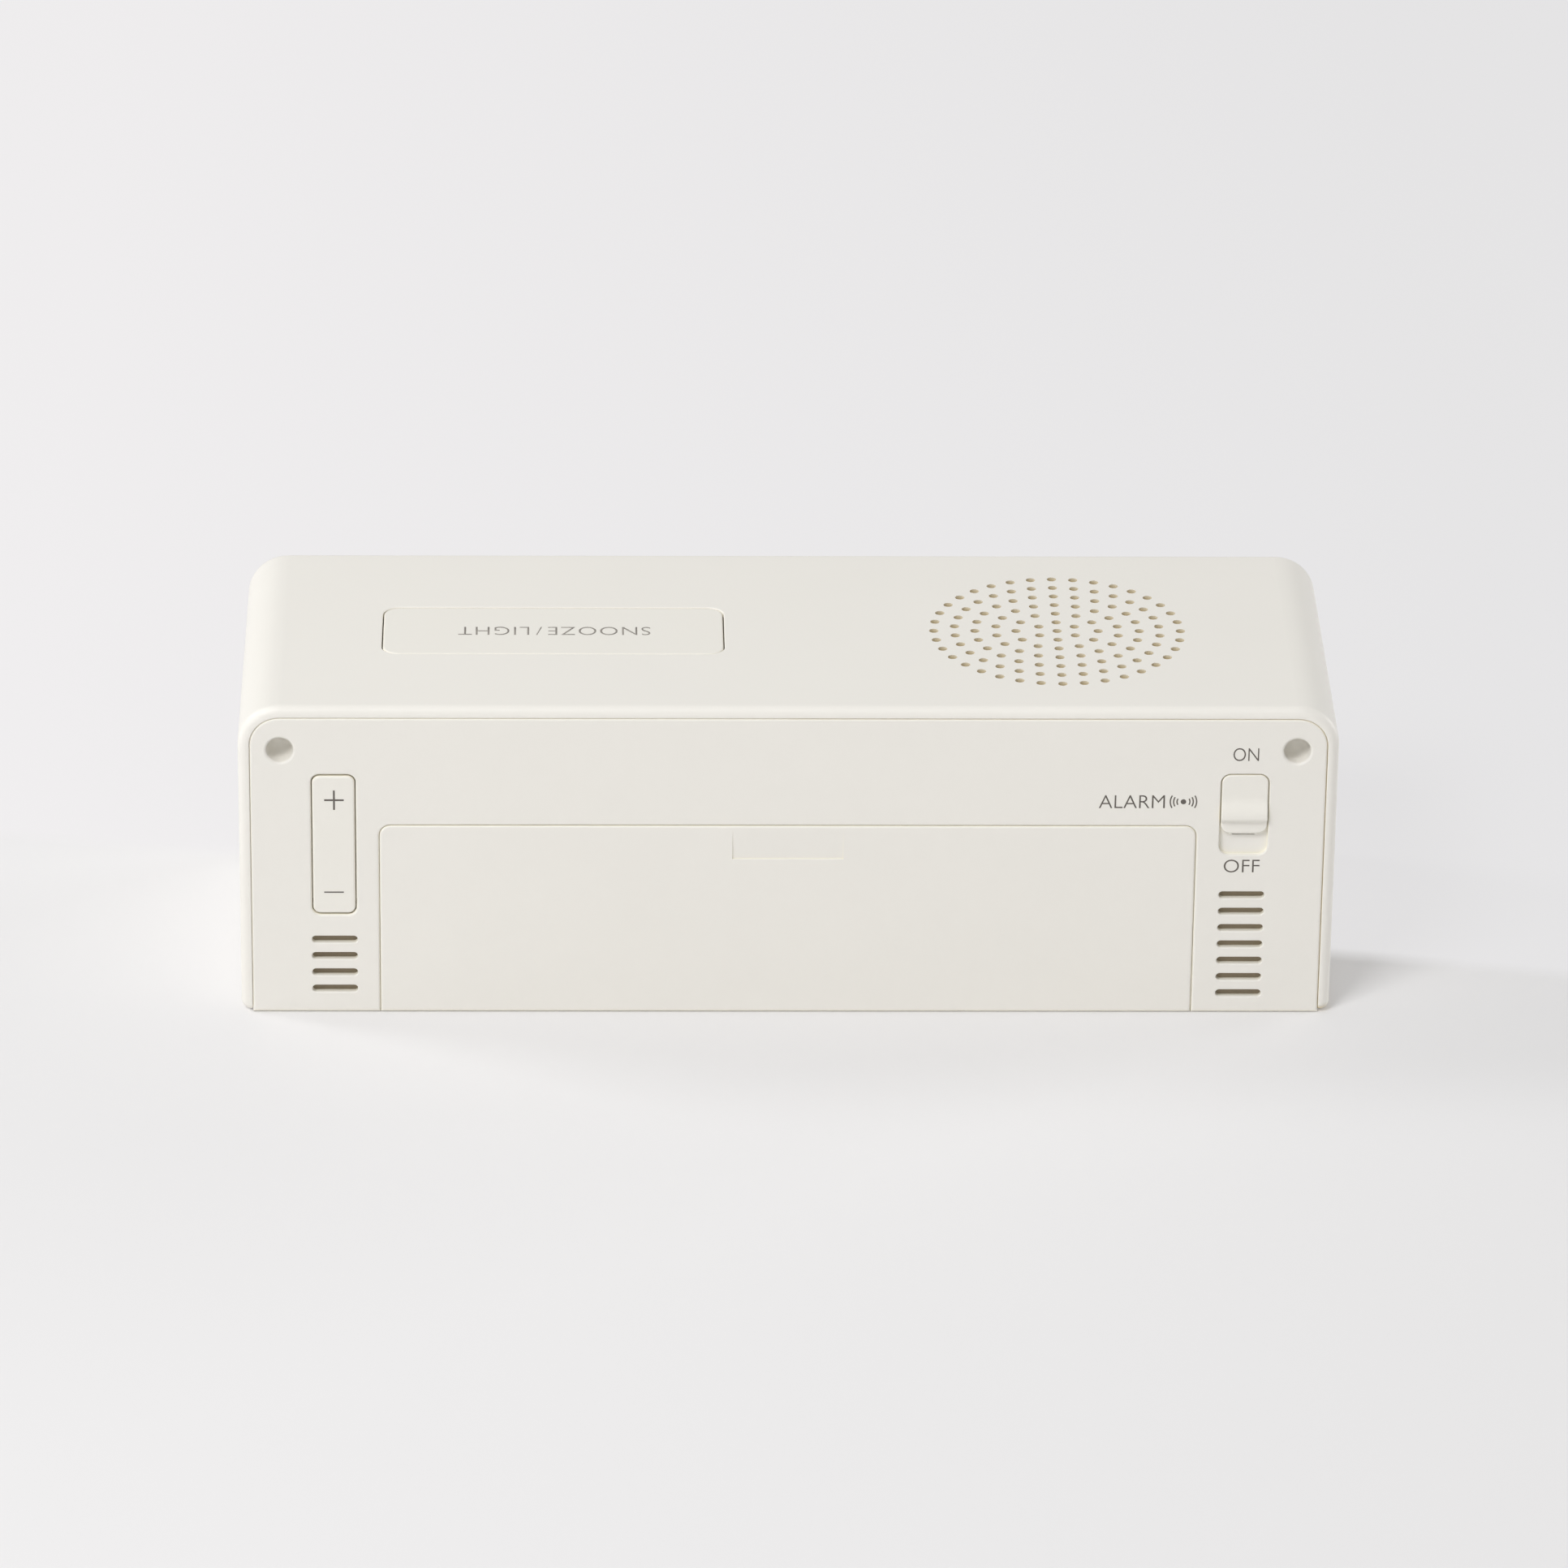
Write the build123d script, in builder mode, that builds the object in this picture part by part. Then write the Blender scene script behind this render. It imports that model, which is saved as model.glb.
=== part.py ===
"""Digital alarm clock on four rubber feet.

A moulded sleeve is closed by an inset front bezel and an inset rear cover. The cover carries the
battery bay, the plus/minus key and the alarm switch; the sleeve carries the snooze bar and the speaker.

Millimetres, +Z up. The display faces -Y and the rear controls face +Y. The origin is on the table,
under the middle of the case.
"""
import os
from math import asin, cos, sin

from build123d import *

# Case
case_wall = 2.2
rim_lip = 1.57
top_corner_radius = 5.7
bottom_corner_radius = 1.3
rim_fillet = 1.2
panel_thickness = 2.0
seam_gap = 0.03
seam_break = 0.35
lip_break = 0.18
edge_break = 0.2
cover_drop = 0.1
overrun = 1.0
slip = 0.1
sides = (-1, 1)

# Rooms round the cells, which set the outer size of the case
control_side = 12.85
component_room = 13.1
speaker_room = 1.75

# Rubber feet
foot_proud = 0.2
foot_diameter = 8.0
foot_recess = 0.8
foot_inset_x = 9.0
foot_inset_y = 8.4

# Speaker grille: a centre hole and rings of holes, six more on each ring
grille_side_share = 0.5
grille_y = 0.3
grille_ring_pitch = 2.844
grille_rings = 6
grille_ring_step = 6
grille_hole_diameter = 1.3
grille_cloth_thickness = 0.4

# Speaker
speaker_diameter = 36.0
speaker_flange_thickness = 1.2
speaker_flange_width = 2.2
speaker_depth = 12.0
speaker_sheet = 0.8
speaker_ring_wall = 1.0
speaker_ring_drop = 2.6
magnet_diameter = 18.0
magnet_height = 4.0
cone_sheet = 0.4
cone_depth = 4.2
cap_diameter = 9.0
cap_rise = 1.6

# Snooze bar
snooze_side_share = 0.4285
snooze_y = 0.35
snooze_inset = 0.05
snooze_length = 46.9
snooze_width = 14.9
snooze_corner = 2.2
snooze_gap = 0.15
snooze_break = 0.25
snooze_travel = 0.8
snooze_skin = 1.6
snooze_skirt = 1.2
snooze_flange = 1.2
snooze_flange_thickness = 1.0
snooze_post_spread = 28.0
snooze_post_radius = 2.2
snooze_board_drop = 7.6
snooze_board_width = 12.0
snooze_board_margin = 3.0
push_switch_size = 6.0
push_switch_height = 3.5
push_stem_radius = 1.6
push_stem_proud = 1.0

# Boards and their screws
board_thickness = 1.2
pilot_radius = 0.9
screw_shank_radius = 0.85
screw_head_radius = 1.6
screw_head_height = 1.1
screw_bite = 4.0
driver_span = 1.8
driver_slot = 0.45
driver_depth = 0.6
board_hole_radius = 1.1

# Batteries: two cells end to end
cell_diameter = 26.2
cell_length = 50.0
cell_nipple_length = 1.5
cell_nipple_diameter = 6.6
cell_edge = 0.8
cell_clearance = 0.35
contact_sheet = 0.4
contact_width = 12.0
contact_height = 18.0
contact_pip = 0.8
contact_pip_radius = 3.0

# Battery bay and door
bay_end_room = 4.2
bay_headroom = 0.9
bay_wall = 1.2
bay_floor_skin = 1.35
saddle_count = 4
saddle_thickness = 1.2
saddle_height = 6.0
door_shelf = 1.67
door_thickness = 1.8
door_gap = 0.04
door_corner = 1.6
tongue_reach = 1.1
tongue_thickness = 1.6
tongue_clearance = 0.2
tongue_foot = 3.0
tongue_head = 2.4
rail_wall = 1.0
scoop_width = 15.2
scoop_height = 4.4
scoop_drop = 5.0
scoop_depth = 0.2
scoop_break = 0.1

# Column of controls beside the door, on each side
control_margin = 4.02
control_post_radius = 1.4
control_board_width = 7.2
board_setback = 7.2
post_margin = 0.25

# Plus/minus key, rocking on two stub pins
key_shift = 0.09
key_rise_share = 0.5511
key_width = 5.83
key_height = 20.85
key_corner = 1.05
key_gap = 0.22
key_side_gap = 0.12
key_break = 0.35
key_thickness = 3.3
key_flange = 0.8
key_flange_drop = 0.6
key_flange_notch = 2.4
key_pin_radius = 0.8
key_pin_clearance = 0.08
key_pin_depth = 3.4
key_ear_wall = 0.9
key_ear_thickness = 0.7
key_switch_spread = 7.0
key_switch_size = 4.5
key_switch_height = 2.4
key_stem_radius = 0.9
key_stem_clearance = 0.4
key_stem_proud = 1.0
key_stem_sunk = 1.0
key_stem_room = 0.6
key_foot_radius = 1.3

# Alarm switch, sliding between two places
alarm_shift = 0.18
recess_rise_share = 0.5208
recess_width = 6.65
recess_height = 12.29
recess_corner = 1.4
recess_depth = 0.7
knob_gap = 0.15
knob_height = 8.8
knob_proud = 0.75
knob_corner = 1.25
knob_break = 0.2
ridge_foot_share = 0.14
ridge_peak_share = 0.29
ridge_head_share = 0.62
knob_neck_width = 2.6
knob_neck_height = 3.6
neck_slot_gap = 0.25
lever_width = 1.2
lever_height = 1.6
lever_clearance = 0.1
lever_overlap = 1.7
lever_room = 0.4
lever_sunk = 1.3
slide_switch_width = 4.4
slide_switch_height = 10.0
slide_switch_depth = 3.8
sensor_size = 4.0
sensor_height = 1.4
sensor_port_radius = 0.7
sensor_rise = 10.0
alarm_board_rise = 3.8

# Vents: rows of slots under the controls
vent_length = 6.25
vent_height = 1.05
vent_pitch = 2.517
vent_wall = 0.9
vent_room = 0.15
key_vent_count = 4
key_vent_rise = 3.46
alarm_vent_count = 7
alarm_vent_rise = 2.82

# Dimples in the rear cover, each over a post that takes a case screw from inside
dimple_inset_x = 5.7
dimple_inset_z = 6.4
dimple_diameter = 3.64
dimple_depth = 3.4
dimple_nose = 1.6
dimple_break = 0.4
cover_post_radius = 3.0
cover_post_length = 12.0
case_boss_radius = 2.8
case_boss_length = 5.0
case_boss_rib = 1.6
case_screw_head_radius = 1.65
case_screw_head_height = 1.6
case_screw_bite = 7.0
cover_tab_width = 4.0
cover_tab_length = 5.0
cover_tab_thickness = 1.4

# Display stack behind the front bezel
window_inset_x = 17.0
window_inset_low = 10.0
window_inset_high = 10.0
window_corner = 1.0
lens_border = 6.0
lens_corner = 2.0
lens_thickness = 1.1
lens_gap = 0.1
glass_thickness = 1.1
glass_overlap = 1.4
glass_ledge = 4.2
light_guide_thickness = 2.1
lamp_length = 2.0
lamp_width = 3.6
strip_width = 2.4
strip_inset = 3.0
holder_rail = 6.8
holder_sill = 1.4
display_post_radius = 1.8
display_post_inset = 2.6
chip_size = 12.0
chip_height = 1.6
chip_corner = 0.8
crystal_length = 8.0
crystal_radius = 1.5
capacitor_radius = 2.5
capacitor_height = 6.5
capacitor_spread = 9.0
capacitor_edge = 0.5

# Width: two cells end to end, the door in its rails, and a column of controls on each side
bay_half_length = cell_length + bay_end_room
door_opening_half = bay_half_length + door_shelf
door_half = door_opening_half - door_gap
tongue_half = door_half + tongue_reach
channel_half = tongue_half + tongue_clearance
rail_half = channel_half + rail_wall
control_x = rail_half + control_margin
half_width = control_x + control_side
key_x = control_x - key_shift
alarm_x = -control_x - alarm_shift

# Height: the feet, the cells in their bay, and the speaker over them
underside = foot_proud
floor = underside + case_wall
bay_floor = floor - (case_wall - bay_floor_skin)
bay_top = bay_floor + cell_diameter + bay_headroom
speaker_low = bay_top + bay_wall + speaker_room
speaker_top = speaker_low + speaker_depth
ceiling = speaker_top + grille_cloth_thickness + 2 * slip
top = ceiling + case_wall
case_height = top - underside

# Depth: the display stack, the components on the main board, the cells and the door
display_depth = panel_thickness + 2 * glass_thickness + light_guide_thickness + board_thickness + 3 * slip
bay_depth = bay_wall + cell_diameter + 2 * cell_clearance + door_thickness
case_depth = display_depth + component_room + bay_depth
rear = case_depth / 2
front = -rear

# Main levels of the case
inner_half_width = half_width - case_wall
rear_seat = rear - panel_thickness
front_seat = front + panel_thickness
panel_half_width = half_width - rim_lip
panel_high = top - rim_lip
panel_low = underside + rim_lip
panel_corner = top_corner_radius - rim_lip

# Battery bay: the cells lie along X, the door closes the bay at the rear
cell_radius = cell_diameter / 2
door_inner = rear - door_thickness
cell_y = door_inner - cell_clearance - cell_radius
cell_z = bay_floor + cell_clearance + cell_radius
bay_front = cell_y - cell_radius - cell_clearance
door_high = bay_top - door_gap
door_low = underside - cover_drop
channel_front = rear_seat - tongue_thickness - 2 * tongue_clearance
channel_high = bay_top - tongue_head + tongue_clearance

# Controls, case screws and boards behind the rear cover
key_z = underside + key_rise_share * case_height
key_opening_width = key_width + 2 * key_side_gap
key_opening_height = key_height + 2 * key_gap
key_inner = rear - key_thickness
key_pin_y = rear - key_pin_depth
key_pin_half = key_opening_width / 2 + key_ear_thickness - slip
recess_low = underside + recess_rise_share * case_height
recess_high = recess_low + recess_height
recess_floor = rear - recess_depth
knob_high = recess_high - knob_gap
knob_low = knob_high - knob_height
knob_travel = knob_low - knob_gap - recess_low
knob_z = (knob_high + knob_low) / 2
knob_inner = recess_floor + slip
case_post_x = half_width - dimple_inset_x
case_post_z = top - dimple_inset_z
case_posts = [(side * case_post_x, case_post_z) for side in sides]
dimple_radius = dimple_diameter / 2
cover_post_end = rear_seat - cover_post_length
case_boss_rear = cover_post_end - slip
case_boss_front = case_boss_rear - case_boss_length
board_rear = rear_seat - board_setback
board_front = board_rear - board_thickness
post_gap = control_post_radius + post_margin
key_post_heights = (key_z - key_opening_height / 2 - post_gap, key_z + key_opening_height / 2 + post_gap)
alarm_post_heights = (recess_low - post_gap, recess_high + post_gap)
control_posts = [(key_x, height) for height in key_post_heights]
control_posts += [(alarm_x, height) for height in alarm_post_heights]

# Speaker and snooze switch under the ceiling
speaker_radius = speaker_diameter / 2
grille_x = -grille_side_share * half_width
snooze_x = snooze_side_share * half_width
snooze_top = top - snooze_inset
snooze_flange_top = ceiling - slip
snooze_board_top = ceiling - snooze_board_drop
push_switch_top = snooze_board_top + push_switch_height
snooze_posts = [(snooze_x + side * snooze_post_spread, snooze_y) for side in sides]

# Display stack, from the lens inwards
window_half = half_width - window_inset_x
window_low = underside + window_inset_low
window_high = top - window_inset_high
glass_half = window_half + glass_overlap
glass_low = window_low - glass_overlap
glass_high = window_high + glass_overlap
glass_front = front_seat + slip
glass_joint = glass_front + glass_thickness
glass_rear = glass_joint + glass_thickness
guide_rear = glass_rear + slip + light_guide_thickness
main_board_front = guide_rear + slip
main_board_rear = main_board_front + board_thickness
holder_half = glass_half + holder_rail
holder_low = glass_low - glass_ledge - holder_sill
holder_high = glass_high + holder_rail / 2
display_posts = [(side * (holder_half - display_post_inset), height)
                 for side in sides
                 for height in (holder_low + display_post_inset, holder_high - display_post_inset)]


def facing_front(depth):
    """Upright sketch plane at the given depth; its faces extrude towards the display."""
    return Plane.XZ.offset(-depth)


def upright_outline(half, low, high, top_radius=0, low_radius=0):
    """Panel outline about the middle of the clock, with its own corner radii above and below."""
    with BuildSketch(mode=Mode.PRIVATE) as drawn:
        with Locations((0, (low + high) / 2)):
            Rectangle(2 * half, high - low)
        if top_radius:
            fillet(drawn.vertices().group_by(Axis.Y)[-1], top_radius)
        if low_radius:
            fillet(drawn.vertices().group_by(Axis.Y)[0], low_radius)
    return drawn.sketch


def block(low_corner, high_corner, mode=Mode.ADD):
    """Box between two corners in the part that is being built."""
    middle = [(low + high) / 2 for low, high in zip(low_corner, high_corner)]
    size = [abs(high - low) for low, high in zip(low_corner, high_corner)]
    with Locations(tuple(middle)):
        Box(*size, mode=mode)


def add_screws(seat, places, head_radius, rise, bite):
    """Screws in the part that is being built.

    Their crossed heads rise from the seat by a signed height and the shanks go the other way.
    """
    way = 1 if rise > 0 else -1
    with BuildSketch(seat, mode=Mode.PRIVATE) as heads:
        with Locations(*places):
            Circle(head_radius)
    with BuildSketch(seat, mode=Mode.PRIVATE) as shanks:
        with Locations(*places):
            Circle(screw_shank_radius)
    with BuildSketch(seat.offset(rise), mode=Mode.PRIVATE) as crosses:
        with Locations(*places):
            Rectangle(driver_span, driver_slot)
            Rectangle(driver_slot, driver_span)
    extrude(heads.sketch, amount=rise)
    extrude(shanks.sketch, amount=-way * bite)
    extrude(crosses.sketch, amount=-way * driver_depth, mode=Mode.SUBTRACT)


def rear_break(part, length):
    """Edges of the rearmost face of a part, as long as the given length or longer."""
    return [edge for edge in part.faces().sort_by(Axis.Y)[-1].edges() if edge.length >= length]


# Outer sleeve, open at the front and the rear
with BuildPart() as case_sleeve:
    with BuildSketch(facing_front(rear)):
        add(upright_outline(half_width, underside, top, top_corner_radius, bottom_corner_radius))
    extrude(amount=case_depth)
    rims = case_sleeve.faces().sort_by(Axis.Y)
    fillet(rims[0].edges() + rims[-1].edges(), rim_fillet)
    with BuildSketch(facing_front(rear + overrun)):
        add(upright_outline(inner_half_width, floor, ceiling, top_corner_radius - case_wall))
    extrude(amount=case_depth + 2 * overrun, mode=Mode.SUBTRACT)
    with BuildSketch(facing_front(rear + overrun)):
        add(upright_outline(panel_half_width, underside - overrun, panel_high, panel_corner))
    extrude(amount=panel_thickness + overrun, mode=Mode.SUBTRACT)
    rear_lip = case_sleeve.edges(Select.LAST).group_by(Axis.Y)[-1]
    fillet([edge for edge in rear_lip if edge.length > rim_lip], lip_break)
    with BuildSketch(facing_front(front_seat)):
        add(upright_outline(panel_half_width, panel_low, panel_high, panel_corner))
    extrude(amount=panel_thickness + overrun, mode=Mode.SUBTRACT)
    fillet(case_sleeve.edges(Select.LAST).group_by(Axis.Y)[0], lip_break)
    # Thinner floor under the cells, and notches that let the door's tongues slide out
    pocket_half = bay_half_length + bay_wall + slip
    block((-pocket_half, bay_front - bay_wall - slip, bay_floor),
          (pocket_half, rear, floor + overrun), Mode.SUBTRACT)
    for side in sides:
        block((side * bay_half_length, channel_front, underside - overrun),
              (side * (rail_half + slip), rear, floor + overrun), Mode.SUBTRACT)
        block((side * bay_half_length, channel_front - bay_wall - slip, bay_floor),
              (side * (rail_half + slip), rear, floor + overrun), Mode.SUBTRACT)
    # Snooze opening and speaker grille through the top wall
    with BuildSketch(Plane.XY.offset(ceiling - overrun)):
        with Locations((snooze_x, snooze_y)):
            RectangleRounded(snooze_length + 2 * snooze_gap, snooze_width + 2 * snooze_gap,
                             snooze_corner + snooze_gap)
    extrude(amount=case_wall + 2 * overrun, mode=Mode.SUBTRACT)
    fillet(case_sleeve.edges(Select.LAST).group_by(Axis.Z)[-1], lip_break)
    with BuildSketch(Plane.XY.offset(ceiling - overrun)):
        with Locations((grille_x, grille_y)):
            Circle(grille_hole_diameter / 2)
            for ring in range(1, grille_rings + 1):
                with PolarLocations(ring * grille_ring_pitch, ring * grille_ring_step, start_angle=90):
                    Circle(grille_hole_diameter / 2)
    extrude(amount=case_wall + 2 * overrun, mode=Mode.SUBTRACT)
    # Speaker ring and snooze board posts under the ceiling
    with BuildSketch(Plane.XY.offset(ceiling)):
        with Locations((grille_x, grille_y)):
            Circle(speaker_radius + slip + speaker_ring_wall)
            Circle(speaker_radius + slip, mode=Mode.SUBTRACT)
    extrude(amount=-speaker_ring_drop)
    with BuildSketch(Plane.XY.offset(ceiling)):
        with Locations(*snooze_posts):
            Circle(snooze_post_radius)
    extrude(amount=-snooze_board_drop)
    with BuildSketch(Plane.XY.offset(snooze_board_top)):
        with Locations(*snooze_posts):
            Circle(pilot_radius)
    extrude(amount=screw_bite + slip, mode=Mode.SUBTRACT)
    # Bosses that the two case screws pass through, ribbed to the side wall and the ceiling
    with BuildSketch(facing_front(case_boss_rear)):
        for side in sides:
            with Locations((side * case_post_x, case_post_z)):
                Circle(case_boss_radius)
            with Locations((side * (case_post_x + inner_half_width) / 2, case_post_z)):
                Rectangle(inner_half_width - case_post_x, case_boss_rib)
            with Locations((side * case_post_x, (case_post_z + ceiling) / 2)):
                Rectangle(case_boss_rib, ceiling - case_post_z)
    extrude(amount=case_boss_length)
    with BuildSketch(facing_front(case_boss_rear)):
        with Locations(*case_posts):
            Circle(board_hole_radius)
    extrude(amount=case_boss_length, mode=Mode.SUBTRACT)
    # Shallow seats for the feet
    with BuildSketch(Plane.XY.offset(underside)):
        with GridLocations(2 * (half_width - foot_inset_x), 2 * (rear - foot_inset_y), 2, 2):
            Circle(foot_diameter / 2 + slip)
    extrude(amount=foot_recess, mode=Mode.SUBTRACT)
case_sleeve.part.label = "case_sleeve"

with BuildPart() as rubber_feet:
    with BuildSketch():
        with GridLocations(2 * (half_width - foot_inset_x), 2 * (rear - foot_inset_y), 2, 2):
            Circle(foot_diameter / 2)
    extrude(amount=foot_proud + foot_recess)
    chamfer(rubber_feet.faces().group_by(Axis.Z)[0].edges(), foot_proud / 2)
rubber_feet.part.label = "rubber_feet"

# Rear cover with its vents, dimples, control openings and the battery bay behind it
vent_columns = ((key_x, underside + key_vent_rise, key_vent_count),
                (alarm_x, underside + alarm_vent_rise, alarm_vent_count))
vent_places = [(across, low + row * vent_pitch)
               for across, low, count in vent_columns
               for row in range(count)]
vent_reach = (vent_length / 2 + vent_room, vent_height / 2 + vent_room)
cover_high = panel_high - seam_gap
cover_half = panel_half_width - seam_gap
neck_slot_height = knob_neck_height + knob_travel + 2 * neck_slot_gap
neck_slot_z = knob_z - knob_travel / 2
bay_foot = bay_floor + slip
saddle_pitch = 2 * bay_half_length / (saddle_count + 1)
with BuildPart() as rear_cover:
    with BuildSketch(facing_front(rear)):
        add(upright_outline(cover_half, underside - cover_drop, cover_high, panel_corner - seam_gap))
        add(upright_outline(door_opening_half, underside - overrun, bay_top, door_corner),
            mode=Mode.SUBTRACT)
        with Locations((key_x, key_z)):
            RectangleRounded(key_opening_width, key_opening_height, key_corner + key_side_gap,
                             mode=Mode.SUBTRACT)
    extrude(amount=panel_thickness)
    fillet(rear_break(rear_cover, seam_break), seam_break)
    with BuildSketch(facing_front(rear)):
        with Locations(*vent_places):
            SlotOverall(vent_length, vent_height)
    extrude(amount=panel_thickness, mode=Mode.SUBTRACT)
    fillet(rear_cover.edges(Select.LAST).group_by(Axis.Y)[-1], lip_break)
    # Thinner wall round the vents, cut from inside
    for across, low, count in vent_columns:
        high = low + (count - 1) * vent_pitch
        block((across - vent_reach[0], rear_seat, low - vent_reach[1]),
              (across + vent_reach[0], rear - vent_wall, high + vent_reach[1]), Mode.SUBTRACT)
    # Posts for the case screws, with a round dimple over each
    with BuildSketch(facing_front(rear_seat)):
        with Locations(*case_posts):
            Circle(cover_post_radius)
    extrude(amount=cover_post_length)
    with BuildSketch(facing_front(cover_post_end)):
        with Locations(*case_posts):
            Circle(pilot_radius)
    extrude(amount=-case_screw_bite - slip, mode=Mode.SUBTRACT)
    with BuildSketch(facing_front(rear)):
        with Locations(*case_posts):
            Circle(dimple_radius)
    extrude(amount=dimple_depth, mode=Mode.SUBTRACT)
    fillet(rear_cover.edges(Select.LAST).group_by(Axis.Y)[0], dimple_nose)
    dimple_rims = rear_cover.faces().sort_by(Axis.Y)[-1].edges().filter_by(lambda edge: edge.is_closed)
    fillet(dimple_rims, dimple_break)
    # Alarm switch recess and the slot for the knob's neck
    with BuildSketch(facing_front(rear)):
        with Locations((alarm_x, (recess_low + recess_high) / 2)):
            RectangleRounded(recess_width, recess_height, recess_corner)
    extrude(amount=recess_depth, mode=Mode.SUBTRACT)
    fillet(rear_cover.edges(Select.LAST).group_by(Axis.Y)[-1], lip_break)
    with BuildSketch(facing_front(rear)):
        with Locations((alarm_x, neck_slot_z)):
            Rectangle(knob_neck_width + 2 * neck_slot_gap, neck_slot_height)
    extrude(amount=panel_thickness, mode=Mode.SUBTRACT)
    # Posts for the two control boards
    with BuildSketch(facing_front(rear_seat)):
        with Locations(*control_posts):
            Circle(control_post_radius)
    extrude(amount=board_setback)
    with BuildSketch(facing_front(board_rear)):
        with Locations(*control_posts):
            Circle(pilot_radius)
    extrude(amount=-screw_bite - slip, mode=Mode.SUBTRACT)
    # Ears for the key's pins
    for side in sides:
        inner = key_x + side * key_opening_width / 2
        with BuildSketch(Plane.YZ.offset(inner)):
            with Locations((key_pin_y, key_z)):
                Circle(key_pin_radius + key_pin_clearance + key_ear_wall)
            ear_half = key_pin_radius + key_pin_clearance + key_ear_wall
            with Locations(((key_pin_y + rear_seat) / 2, key_z)):
                Rectangle(rear_seat - key_pin_y, 2 * ear_half)
            with Locations((key_pin_y, key_z)):
                Circle(key_pin_radius + key_pin_clearance, mode=Mode.SUBTRACT)
        extrude(amount=side * key_ear_thickness)
    # Battery bay: top and end walls, a front wall, and saddles that follow the cells
    block((-bay_half_length - bay_wall, bay_front - bay_wall, bay_foot),
          (bay_half_length + bay_wall, rear_seat, bay_top + bay_wall))
    block((-bay_half_length, bay_front, underside - overrun),
          (bay_half_length, rear, bay_top), Mode.SUBTRACT)
    # Rails that hold the door's tongues behind the cover
    for side in sides:
        block((side * bay_half_length, channel_front - bay_wall, bay_foot),
              (side * rail_half, rear_seat, bay_top + bay_wall))
        block((side * bay_half_length, channel_front, underside - overrun),
              (side * channel_half, rear_seat, channel_high), Mode.SUBTRACT)
    for step in range(1, saddle_count + 1):
        with BuildSketch(Plane.YZ.offset(step * saddle_pitch - bay_half_length - saddle_thickness / 2)):
            with Locations((bay_front, bay_top)):
                Rectangle(saddle_height, saddle_height, align=(Align.MIN, Align.MAX))
            with Locations((bay_front, bay_foot)):
                Rectangle(saddle_height, saddle_height, align=(Align.MIN, Align.MIN))
            with Locations((cell_y, cell_z)):
                Circle(cell_radius + slip, mode=Mode.SUBTRACT)
        extrude(amount=saddle_thickness)
    # Tabs that locate the cover on the sleeve's floor
    for side in sides:
        tab_side = inner_half_width - slip
        block((side * (tab_side - cover_tab_width), rear_seat - cover_tab_length, floor + slip),
              (side * tab_side, rear_seat, floor + slip + cover_tab_thickness))
rear_cover.part.label = "rear_cover"

with BuildPart() as case_screws:
    add_screws(facing_front(case_boss_front), case_posts, case_screw_head_radius, case_screw_head_height,
               case_boss_length + slip + case_screw_bite)
case_screws.part.label = "case_screws"

# Battery door with a thumb scoop and a tongue along each edge
scoop_ledge = door_high - scoop_drop
with BuildPart() as battery_door:
    with BuildSketch(facing_front(rear)):
        add(upright_outline(door_half, door_low, door_high, door_corner - door_gap))
    extrude(amount=door_thickness)
    fillet(rear_break(battery_door, seam_break), seam_break)
    with BuildSketch(Plane.YZ.offset(-scoop_width / 2)):
        with BuildLine():
            Polyline((rear, scoop_ledge), (rear - scoop_depth, scoop_ledge),
                     (rear, scoop_ledge + scoop_height), close=True)
        make_face()
    extrude(amount=scoop_width, mode=Mode.SUBTRACT)
    scoop_edges = battery_door.edges(Select.LAST).filter_by(Axis.X).group_by(Axis.Y)[-1]
    fillet(scoop_edges.sort_by(Axis.Z)[0], scoop_break)
    for side in sides:
        root = side * (bay_half_length + tongue_clearance)
        tongue_rear = rear_seat - tongue_clearance
        tongue_front = channel_front + tongue_clearance
        block((root, tongue_front, door_low + tongue_foot),
              (side * door_half, door_inner, door_high - tongue_head))
        block((root, tongue_front, door_low + tongue_foot),
              (side * tongue_half, tongue_rear, door_high - tongue_head))
battery_door.part.label = "battery_door"

# Battery cells, contact plate at one end and contact leaf at the other
first_cell_end = bay_half_length - slip - contact_sheet - contact_pip
cells = []
for number in range(2):
    with BuildPart() as battery_cell:
        nipple_end = first_cell_end - number * cell_length
        can_end = nipple_end - cell_nipple_length
        with BuildSketch(Plane.YZ.offset(nipple_end - cell_length)):
            with Locations((cell_y, cell_z)):
                Circle(cell_radius)
        extrude(amount=cell_length - cell_nipple_length)
        fillet(battery_cell.edges(), cell_edge)
        with BuildSketch(Plane.YZ.offset(can_end)):
            with Locations((cell_y, cell_z)):
                Circle(cell_nipple_diameter / 2)
        extrude(amount=cell_nipple_length)
    battery_cell.part.label = f"battery_cell_{number + 1}"
    cells.append(battery_cell.part)

with BuildPart() as contact_plate:
    plate_x = bay_half_length - slip
    block((plate_x - contact_sheet, cell_y - contact_width / 2, cell_z - contact_height / 2),
          (plate_x, cell_y + contact_width / 2, cell_z + contact_height / 2))
    with BuildSketch(Plane.YZ.offset(plate_x - contact_sheet)):
        with Locations((cell_y, cell_z)):
            Circle(contact_pip_radius)
    extrude(amount=-contact_pip)
contact_plate.part.label = "contact_plate"

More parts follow.
